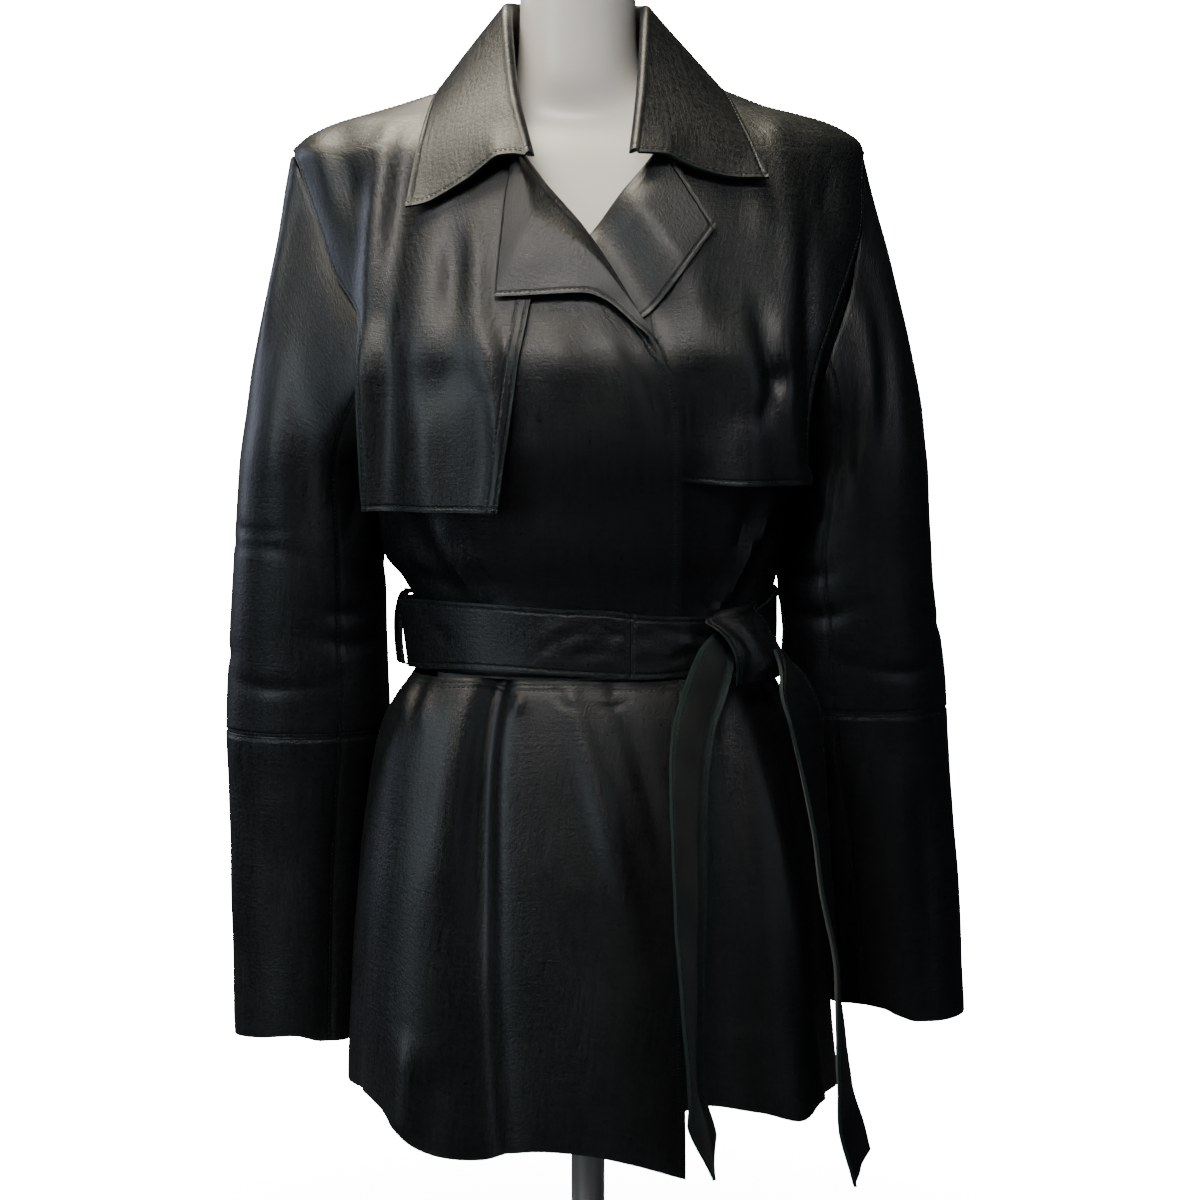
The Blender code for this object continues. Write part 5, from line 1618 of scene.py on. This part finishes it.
# ---------------------------------------------------------------- belt
def belt_grid(length, first):
    last = BELT_END[length]
    across, share = np.meshgrid(spaced(16, 0.4) - 0.5, spaced(BELT_COLUMNS[length], 0.1),
                                indexing="ij")
    angle = first + (last - first) * share
    middle_z, width = read(BELT_MIDDLE, angle)
    middle, half_width = BELT_FLARE_ANGLE
    flare = np.exp(-((angle - middle) / half_width) ** 2)
    flare *= BELT_FLARE[0] + 2 * BELT_FLARE[1] * across
    grid = lifted(bodice_bare, angle, np.full(angle.shape, BELT_SIZE_Z), BELT_LIFT + flare)
    grid[..., 2] = middle_z + width * across
    height = relief(BELT_CREASES, angle, grid[..., 2], BELT_DEGREE)
    if last < first:
        grid, height = grid[:, ::-1], height[:, ::-1]
    return creased(grid, height, "belt")


def tail_grid(name):
    """A hanging strip, cupped across its width, one edge bent out, its end cut to a shape."""
    across = spaced(20, 0.4) - 0.5
    cup, start, bend = TAIL_SHAPE[name]
    sign, bend = math.copysign(1.0, start), math.radians(bend)
    rows = []
    for share in np.linspace(0.0, 1.0, TAIL_ROWS + 1):
        down = share * (1.0 - read(TAIL_END[name], across + 0.5)[0])
        x, y, z, turn, width = read(TAILS[name], down)
        turn = np.radians(turn)
        side = points(np.cos(turn), np.sin(turn), 0.0)
        out = points(np.sin(turn), -np.cos(turn), 0.0)
        past = np.maximum(sign * across - abs(start), 0.0) * width
        aside = across * width + sign * past * (math.cos(bend) - 1)
        bow = cup * np.cos(math.pi * across) + past * math.sin(bend)
        rows.append(points(x, y, z) + side * aside[:, None] + out * bow[:, None])
    return creased(np.array(rows[::-1]), 0.0, "tail")


def loop_grid(side):
    sign, column = SIGN[side], COLUMN[side]
    reach = read(BODICE, BELT_SIZE_Z)[column]
    rows = []
    for out, z in np.transpose(read(LOOP, np.linspace(0.0, 1.0, 33))):
        x = sign * max(reach + out * LOOP_SHARE[side], read(BODICE, z)[column] + LOOP[0, 1])
        y = LOOP_WIDTH * (spaced(8, 0.3) - 0.5)
        row = points(x + sign * LOOP_TWIST * y, RIDGE_Y + y, z)
        rows.append(row if side == "left" else row[::-1])
    return np.array(rows[::-1])


def knot_grid():
    """The last turn of the tie: over the belt, down its face and under again."""
    fold = np.linspace(-1.0, 0.0, 22)[:-1]
    stations = np.concatenate([fold, np.linspace(0.0, 1.0, 44), 1.0 - fold[::-1]])[::-1]
    down, across = np.meshgrid(stations, spaced(26, 0.4), indexing="ij")
    on_face = np.clip(down, 0.0, 1.0)
    left_x, left_z, right_x, right_z = read(KNOT_FACE, on_face)
    turn = math.radians(KNOT_FOLD_TURN) * np.abs(down - on_face)
    least, full_at = KNOT_FOLD_GROWS
    radius = KNOT_FOLD * (least + (1 - least) * blend(0.0, full_at, across))
    y = KNOT_FRONT_Y + KNOT_RECEDES[0] * across + KNOT_RECEDES[1] * across ** 4
    y = y - KNOT_CURL * (1 - blend(0.0, KNOT_CURL_TO, across))
    y = y + radius * (1 - np.cos(turn)) - KNOT_BOW * np.sin(math.pi * on_face)
    z = left_z + (right_z - left_z) * across
    z = z + np.copysign(radius * KNOT_FOLD_FLAT * np.sin(turn), 0.5 - down)
    grid = points(left_x + (right_x - left_x) * across, y, z)
    length, width = KNOT_MAP
    return creased(grid, relief(KNOT_CREASES, length * down, width * across), "knot")


# ---------------------------------------------------------------- what each piece needs
def row(edge, inset, first=0.0, last=1.0):
    """A row of stitches inside an edge of a grid: low, high, first or last."""
    return edge, inset, first, last, RUN


def tick_row(edge, inset, last=1.0):
    return edge, inset, 0.0, last, TICK


SPEC = {
    "front_right": {"raw": ("last",), "sewn": ("low", "first"), "map_from": "last",
                    "stitch": (tick_row("last", 0.0045, 0.49), row("first", 0.0024))},
    "storm_flap_right": {"raw": ("low", "first", "last"),
                         "stitch": (row("low", 0.0034), row("last", 0.0022),
                                    row("last", 0.0088), row("first", 0.0030))},
    "lapel_right": {"raw": ("low", "last", "high"),
                    "stitch": (row("last", 0.0032), row("low", 0.0032, 0.14))},
    "skirt_right": {"raw": ("low", "last"), "sewn": ("high", "first"),
                    "stitch": (row("high", 0.0042), row("high", 0.0082),
                               tick_row("last", 0.0045), row("first", 0.0024))},
    "back_right": {"sewn": ("low", "last"), "map_from": "first",
                   "stitch": (row("last", 0.0024),)},
}
for level, elbow, others in (("upper", "low", ("high",)), ("lower", "high", ())):
    for part, front, behind in (("top", "last", "first"), ("under", "first", "last")):
        SPEC[f"{part}_sleeve_{level}_right"] = {
            "raw": () if others else ("low",),
            "sewn": (elbow, front, behind, *others),
            "stitch": (row(elbow, 0.0024), row(front, 0.0022))[:2 if part == "top" else 1],
        }
OTHER_EDGE = {"first": "last", "last": "first", "low": "low", "high": "high"}


def mirrored(spec):
    """The needs of a piece's partner, whose first and last edges change places."""
    made = dict(spec)
    for key in ("raw", "sewn"):
        made[key] = tuple(OTHER_EDGE[edge] for edge in spec.get(key, ()))
    if "map_from" in spec:
        made["map_from"] = OTHER_EDGE[spec["map_from"]]
    rows = []
    for edge, inset, first, last, size in spec["stitch"]:
        if edge in ("low", "high"):
            first, last = 1 - last, 1 - first
        rows.append((OTHER_EDGE[edge], inset, first, last, size))
    made["stitch"] = tuple(rows)
    return made


SPEC |= {name.replace("right", "left"): mirrored(spec) for name, spec in SPEC.items()}
BELT_ROWS = (row("low", 0.0034), row("high", 0.0034), row("last", 0.0026))
END_ROWS = (row("first", 0.0034), row("last", 0.0034))
LOOP_ROWS = (row("first", 0.0020), row("last", 0.0020))
SPEC |= {
    "collar": {"raw": ("low", "high", "first"), "sewn": ("last",),
               "stitch": (row("first", 0.0034), row("low", 0.0034, 0.0, 0.70),
                          row("high", 0.0034, 0.0, 0.70))},
    "skirt_back": {"raw": ("low",), "sewn": ("high", "first", "last"),
                   "stitch": (row("high", 0.0042), row("high", 0.0082),
                              row("first", 0.0024), row("last", 0.0024))},
    "belt_long": {"raw": ("low", "high"), "sewn": ("last",), "stitch": BELT_ROWS,
                  "held": "stretched"},
    "belt_knot": {"raw": ("first", "last"), "stitch": END_ROWS, "held": "folded"},
    "belt_tail_inner": {"raw": ("low", "first", "last"), "stitch": END_ROWS},
    "belt_tail_outer": {"raw": ("low", "first", "last"), "stitch": END_ROWS},
    "belt_loop_right": {"raw": ("first", "last"), "stitch": LOOP_ROWS},
    "belt_loop_left": {"raw": ("first", "last"), "stitch": LOOP_ROWS},
}
SPEC["belt_short"] = mirrored(SPEC["belt_long"])


# ---------------------------------------------------------------- hard pieces by hand
FORM_LOW_Z = 0.235
POLE_GROOVES = (0.030, 0.190)
POLE_GROOVE_WIDTH = 0.0014
POLE_RADIUS = 0.0125
SOCKET_RIM = (0.2100, 0.2285)
SOCKET_RADIUS = 0.024
SOCKET_HEIGHT = 0.030
BASE_RADIUS = 0.145
BASE_HEIGHT = 0.012
# Steps turned into the base, from its rim inwards: inset, then how far it rises.
BASE_STEPS = ((0.005, 0.0), (0.0016, -0.0009), (0.0030, 0.0), (0.0016, 0.0009),
              (0.100, 0.0), (0.0004, -0.0006))
STAND_CLEAR = 0.0003


def edit(piece):
    only_active(piece)
    bpy.ops.object.mode_set(mode="EDIT")
    bpy.ops.mesh.select_mode(type="FACE")
    bpy.ops.mesh.select_all(action="DESELECT")


def choose_faces(piece, test):
    """Selects the faces whose centre and normal pass a test, and nothing else."""
    bpy.ops.mesh.select_all(action="DESELECT")
    shape = bmesh.from_edit_mesh(piece.data)
    for face in shape.faces:
        if test(face.calc_center_median(), face.normal):
            face.select_set(True)
    bmesh.update_edit_mesh(piece.data)


def turned_part(name, radius, low_z, high_z, sides):
    """A round bar cut to length, open for editing: the start of each piece of the stand."""
    bpy.ops.object.select_all(action="DESELECT")
    bpy.ops.mesh.primitive_cylinder_add(vertices=sides, radius=radius, depth=high_z - low_z,
                                        location=(0.0, 0.0, 0.5 * (low_z + high_z)))
    piece = bpy.context.object
    piece.name = piece.data.name = name + "_finished"
    for other in list(piece.users_collection):
        other.objects.unlink(piece)
    collection().objects.link(piece)
    only_active(piece)
    bpy.ops.object.transform_apply(location=True, rotation=True, scale=True)
    edit(piece)
    return piece


def step_in(piece, z, inset, rise):
    """Insets the flat face at a height and moves it up or down."""
    choose_faces(piece, lambda centre, normal: abs(centre.z - z) < 0.00005
                 and abs(normal.z) > 0.9 and centre.xy.length < 0.0001)
    bpy.ops.mesh.inset(thickness=inset, depth=0.0)
    bpy.ops.transform.translate(value=(0.0, 0.0, rise))
    return z + rise


def ring_cut(piece, low_z, high_z, deep):
    """Cuts a groove round a bar, between two heights."""
    for height in (low_z, high_z):
        bpy.ops.mesh.select_all(action="SELECT")
        bpy.ops.mesh.bisect(plane_co=(0.0, 0.0, height), plane_no=(0.0, 0.0, 1.0))
    choose_faces(piece, lambda centre, normal: low_z < centre.z < high_z
                 and abs(normal.z) < 0.5)
    bpy.ops.mesh.extrude_region_shrink_fatten(TRANSFORM_OT_shrink_fatten={"value": -deep})


def finish_part(piece, name, width, segments):
    bpy.ops.object.mode_set(mode="OBJECT")
    apply_modifier(piece, "Rounded rims", "BEVEL", width=width, segments=segments,
                   limit_method="ANGLE", angle_limit=math.radians(25))
    bpy.ops.object.shade_smooth_by_angle(angle=math.radians(35))
    piece.data.materials.append(stand_metal())
    return settle(piece, name, slot="stand_metal")


def stand_base():
    """A heavy steel plate with a turned step and a boss for the pole."""
    piece = turned_part("stand_base", BASE_RADIUS, 0.0, BASE_HEIGHT, 128)
    top = BASE_HEIGHT
    for inset, rise in BASE_STEPS:
        top = step_in(piece, top, inset, rise)
    step_in(piece, 0.0, 0.004, 0.0)
    step_in(piece, 0.0, 0.002, 0.001)
    return finish_part(piece, "stand_base", 0.0006, 2)


def stand_pole():
    """A straight tube with a groove low down and one below the socket."""
    low_z = BASE_HEIGHT + STAND_CLEAR
    high_z = FORM_LOW_Z - SOCKET_HEIGHT - STAND_CLEAR
    piece = turned_part("stand_pole", POLE_RADIUS, low_z, high_z, 64)
    half = 0.5 * POLE_GROOVE_WIDTH
    for z in POLE_GROOVES:
        ring_cut(piece, z - half, z + half, 0.0005)
    return finish_part(piece, "stand_pole", 0.0003, 2)


def stand_socket():
    """The cup that the form sits on, with a rim and a neck for the pole."""
    low_z = FORM_LOW_Z - SOCKET_HEIGHT
    high_z = FORM_LOW_Z - STAND_CLEAR
    piece = turned_part("stand_socket", SOCKET_RADIUS, low_z, high_z, 80)
    ring_cut(piece, *SOCKET_RIM, 0.0016)
    step_in(piece, low_z, 0.004, 0.0)
    step_in(piece, low_z, 0.002, 0.001)
    return finish_part(piece, "stand_socket", 0.0012, 3)


def dress_form():
    """The form's shell, smoothed from its solid."""
    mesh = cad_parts["dress_form"].data.copy()
    mesh.name = "dress_form_shell"
    mesh.materials.clear()
    piece = add_object("dress_form_shell", mesh, [form_shell()])
    edit(piece)
    bpy.ops.mesh.select_all(action="SELECT")
    bpy.ops.mesh.remove_doubles(threshold=0.00001)
    bpy.ops.mesh.tris_convert_to_quads(face_threshold=math.radians(60),
                                       shape_threshold=math.radians(60))
    bpy.ops.mesh.normals_make_consistent(inside=False)
    bpy.ops.object.mode_set(mode="OBJECT")
    apply_modifier(piece, "Smooth shell", "SUBSURF", levels=2, render_levels=2)
    bpy.ops.object.shade_smooth_by_angle(angle=math.radians(60))
    return settle(piece, "dress_form", slot="form_shell")


# ---------------------------------------------------------------- stage
CAMERA_AIM = Vector((0.009, 0.0, 0.527))
CAMERA_DISTANCE = 2.083
CAMERA_RISES = 5.0        # degrees above the horizontal
CAMERA_LENS = 85.0
LIGHTS = (
    # name, place, aim, width, height, spread, watts, colour
    ("overhead_light", (-0.40, -1.85, 2.05), (-0.06, -0.05, 0.90), 1.2, 0.5, 36, 1.5,
     (1.0, 0.95, 0.92)),
    ("ceiling_light", (-0.42, 0.06, 2.25), (0.0, 0.0, 0.85), 1.9, 0.7, 180, 62.0,
     (1.0, 0.90, 0.72)),
    ("left_rim", (-1.70, 0.85, 1.10), (-0.1, 0.0, 0.70), 0.5, 1.3, 180, 8.0,
     (0.74, 0.80, 1.0)),
    ("left_window", (-1.75, -1.50, 1.05), (-0.1, 0.0, 0.60), 0.7, 1.4, 180, 11.0,
     (0.76, 0.89, 1.0)),
    ("right_window", (1.55, -1.60, 1.05), (0.1, 0.0, 0.50), 0.4, 1.3, 180, 2.6,
     (0.74, 0.87, 1.0)),
)
FLOOR_SIZE = 6.0


def backdrop(look):
    """White to the camera, but dim as a light, so that black leather stays black."""
    world = bpy.data.worlds.new("studio")
    bpy.context.scene.world = world
    world.use_nodes = True
    tree = world.node_tree
    light = feed(tree, tree.nodes["Background"], {"Color": four(look.room_colour),
                                                  "Strength": look.room_strength})
    white = put(tree, "ShaderNodeBackground", {"Color": (1.0, 1.0, 1.0, 1.0),
                                               "Strength": look.backdrop_strength})
    seen = put(tree, "ShaderNodeLightPath").outputs["Is Camera Ray"]
    values = {0: seen, 1: light.outputs[0], 2: white.outputs[0]}
    chosen = put(tree, "ShaderNodeMixShader", values).outputs[0]
    feed(tree, tree.nodes["World Output"], {"Surface": chosen})


def floor():
    corners = np.array([(-1, -1, 0), (1, -1, 0), (1, 1, 0), (-1, 1, 0)]) * FLOOR_SIZE
    return add_object("floor", mesh_from("floor", corners, [(0, 1, 2, 3)]), [floor_paper()])


def look_along(holder, way):
    """Turns a camera or a light to look one way, and links it."""
    holder.rotation_euler = way.to_track_quat("-Z", "Y").to_euler()
    collection().objects.link(holder)
    return holder


def stage_lights():
    made = []
    for name, place, aim, width, height, spread, watts, colour in LIGHTS:
        lamp = bpy.data.lights.new(name, "AREA")
        lamp.shape = "RECTANGLE"
        lamp.size, lamp.size_y = width, height
        lamp.spread = math.radians(spread)
        lamp.energy = watts
        lamp.color = colour
        holder = bpy.data.objects.new(name, lamp)
        holder.location = place
        made.append(look_along(holder, Vector(aim) - Vector(place)))
    return made


def camera():
    rise = math.radians(CAMERA_RISES)
    lens = bpy.data.cameras.new("camera")
    lens.lens = CAMERA_LENS
    lens.sensor_width = 36.0
    holder = bpy.data.objects.new("camera", lens)
    away = Vector((0.0, -math.cos(rise), math.sin(rise)))
    holder.location = CAMERA_AIM + away * CAMERA_DISTANCE
    bpy.context.scene.camera = look_along(holder, -away)


# ---------------------------------------------------------------- what a user changes
def tint(name, description, default):
    return FloatVectorProperty(name=name, description=description, default=default,
                               subtype="COLOR", min=0.0, max=1.0, size=3)


class JacketLeather(bpy.types.PropertyGroup):
    colour: tint("Leather", "Colour of the grain side", (0.0010, 0.0020, 0.0026))
    colour_patch: tint("Paler areas", "Colour of its slow paler areas", (0.0020, 0.0032, 0.0036))
    colour_streak: tint("Streaks", "Colour of brushed lines and scuffs", (0.0115, 0.0145, 0.0155))
    colour_edge: tint("Raw edge", "Colour of the cut edge", (0.018, 0.042, 0.040))
    colour_flesh: tint("Flesh side", "Colour of the inner face", (0.0050, 0.0100, 0.0100))
    colour_flesh_worn: tint("Raised nap", "Colour of its raised fibres", (0.014, 0.024, 0.022))
    colour_thread: tint("Thread", "Colour of the stitches", (0.0090, 0.0125, 0.0125))
    roughness: FloatProperty(name="Roughness", description="Mean roughness of the grain side",
                             default=0.39, min=0.05, max=1.0, subtype="FACTOR")
    grain: FloatProperty(name="Grain", description="Pebbles of the grain to a metre",
                         default=900.0, min=100.0, max=4000.0)


class JacketForm(bpy.types.PropertyGroup):
    shell: tint("Shell", "Colour of the form", (0.99, 0.95, 0.86))
    shell_shade: tint("Shell, darker areas", "Colour of its darker areas", (0.95, 0.91, 0.81))
    steel: tint("Steel", "Colour of the stand", (0.62, 0.62, 0.61))
    steel_dull: tint("Dull steel", "Colour of its handled places", (0.45, 0.45, 0.45))


class JacketStudio(bpy.types.PropertyGroup):
    room_colour: tint("Room", "Colour of the room's light", (0.86, 0.88, 1.0))
    room_strength: FloatProperty(name="Room light", description="Strength of the room's light",
                                 default=0.018, min=0.0, max=10.0)
    backdrop_strength: FloatProperty(name="Backdrop", description="Brightness of the backdrop",
                                     default=30.0, min=0.0, max=50.0)


# ---------------------------------------------------------------- operators
class JACKET_OT_form(bpy.types.Operator):
    """The white form that wears the jacket"""
    bl_idname = "jacket.form"
    bl_label = "Dress form"

    def execute(self, context):
        dress_form()
        return {"FINISHED"}


class JACKET_OT_stand(bpy.types.Operator):
    """The form's steel stand: base, pole and socket"""
    bl_idname = "jacket.stand"
    bl_label = "Stand"

    def execute(self, context):
        stand_base()
        stand_pole()
        stand_socket()
        return {"FINISHED"}


class JACKET_OT_fronts(bpy.types.Operator):
    """The two fronts, the wearer's right one on top"""
    bl_idname = "jacket.fronts"
    bl_label = "Fronts"

    def execute(self, context):
        for side in SIDES:
            finish_sheet("front_" + side, [front_grid(side)])
        return {"FINISHED"}


class JACKET_OT_back(bpy.types.Operator):
    """The back, whole across its centre"""
    bl_idname = "jacket.back"
    bl_label = "Back"

    def execute(self, context):
        finish_sheet("back", back_grids(), [SPEC["back_" + side] for side in SIDES])
        return {"FINISHED"}


class JACKET_OT_flaps(bpy.types.Operator):
    """The storm flaps, sewn in at shoulder and armhole and free below the bust"""
    bl_idname = "jacket.storm_flaps"
    bl_label = "Storm flaps"

    def execute(self, context):
        for side in SIDES:
            finish_sheet("storm_flap_" + side, [flap_grid(side)])
        return {"FINISHED"}


class JACKET_OT_lapels(bpy.types.Operator):
    """The lapels, which roll over the fronts' edges"""
    bl_idname = "jacket.lapels"
    bl_label = "Lapels"

    def execute(self, context):
        for side in SIDES:
            finish_sheet("lapel_" + side, [lapel_grid(side)])
        return {"FINISHED"}


class JACKET_OT_collar(bpy.types.Operator):
    """The collar: stand, fold and leaf in one"""
    bl_idname = "jacket.collar"
    bl_label = "Collar"

    def execute(self, context):
        faces = [grain_leather(), grain_leather(), cut_edge()]
        finish_sheet("collar", [collar_grid()], None, BAND, faces, outward=True)
        return {"FINISHED"}


class JACKET_OT_sleeves(bpy.types.Operator):
    """Both sleeves, each of four pieces with a seam round the elbow"""
    bl_idname = "jacket.sleeves"
    bl_label = "Sleeves"

    def execute(self, context):
        for side in SIDES:
            for name, grid in sleeve_grids(side):
                finish_sheet(name, [grid], outward=True)
        return {"FINISHED"}


class JACKET_OT_skirt(bpy.types.Operator):
    """The skirt of the jacket: two fronts and a back, gathered to the waist seam"""
    bl_idname = "jacket.skirt"
    bl_label = "Skirt"

    def execute(self, context):
        for piece in ("right", "left", "back"):
            finish_sheet("skirt_" + piece, [skirt_grid(piece)])
        return {"FINISHED"}


class JACKET_OT_belt(bpy.types.Operator):
    """The belt's two lengths, joined at the front, and its loops"""
    bl_idname = "jacket.belt"
    bl_label = "Belt and loops"

    def execute(self, context):
        for length, gap in (("long", -BELT_JOIN_GAP), ("short", BELT_JOIN_GAP)):
            finish_sheet("belt_" + length, [belt_grid(length, BELT_JOIN + gap)], None, BAND)
        for side in SIDES:
            finish_sheet("belt_loop_" + side, [loop_grid(side)])
        return {"FINISHED"}


class JACKET_OT_knot(bpy.types.Operator):
    """The belt's knot and its two hanging ends"""
    bl_idname = "jacket.knot"
    bl_label = "Knot and ends"

    def execute(self, context):
        finish_sheet("belt_knot", [knot_grid()])
        flesh = [flesh_leather(), grain_leather(), cut_edge()]
        for name, faces in (("tail_inner", flesh), ("tail_outer", None)):
            finish_sheet("belt_" + name, [tail_grid(name)], None, BAND, faces)
        return {"FINISHED"}


class JACKET_OT_stage(bpy.types.Operator):
    """The studio: pale floor, white backdrop, soft lights and the camera"""
    bl_idname = "jacket.stage"
    bl_label = "Stage"

    def execute(self, context):
        look = context.scene.jacket_studio
        backdrop(look)
        floor()
        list(stage_lights())
        camera()
        return {"FINISHED"}


GROUPS = {"jacket_leather": JacketLeather, "jacket_form": JacketForm,
          "jacket_studio": JacketStudio}
OPERATORS = (
    JACKET_OT_form, JACKET_OT_stand, JACKET_OT_fronts, JACKET_OT_back, JACKET_OT_flaps,
    JACKET_OT_lapels, JACKET_OT_collar, JACKET_OT_sleeves, JACKET_OT_skirt, JACKET_OT_belt,
    JACKET_OT_knot, JACKET_OT_stage,
)


class JACKET_PT_panel(bpy.types.Panel):
    """Lists the pieces in the order in which they are made"""
    bl_idname = "JACKET_PT_panel"
    bl_label = "Leather Wrap Jacket"
    bl_space_type = "VIEW_3D"
    bl_region_type = "UI"
    bl_category = "Jacket"

    def draw(self, context):
        layout = self.layout
        for group, kind in GROUPS.items():
            box = layout.box()
            for name in kind.__annotations__:
                box.prop(getattr(context.scene, group), name)
        for operator in OPERATORS:
            layout.operator(operator.bl_idname)


def register():
    for name, group in GROUPS.items():
        bpy.utils.register_class(group)
        setattr(bpy.types.Scene, name, PointerProperty(type=group))
    for operator in OPERATORS:
        bpy.utils.register_class(operator)
    bpy.utils.register_class(JACKET_PT_panel)


def unregister():
    bpy.utils.unregister_class(JACKET_PT_panel)
    for operator in reversed(OPERATORS):
        bpy.utils.unregister_class(operator)
    for name, group in GROUPS.items():
        delattr(bpy.types.Scene, name)
        bpy.utils.unregister_class(group)


def main():
    register()
    bpy.ops.jacket.form()
    bpy.ops.jacket.stand()
    bpy.ops.jacket.fronts()
    bpy.ops.jacket.back()
    bpy.ops.jacket.storm_flaps()
    bpy.ops.jacket.lapels()
    bpy.ops.jacket.collar()
    bpy.ops.jacket.sleeves()
    bpy.ops.jacket.skirt()
    bpy.ops.jacket.belt()
    bpy.ops.jacket.knot()
    bpy.ops.jacket.stage()


if __name__ == "__main__":
    main()
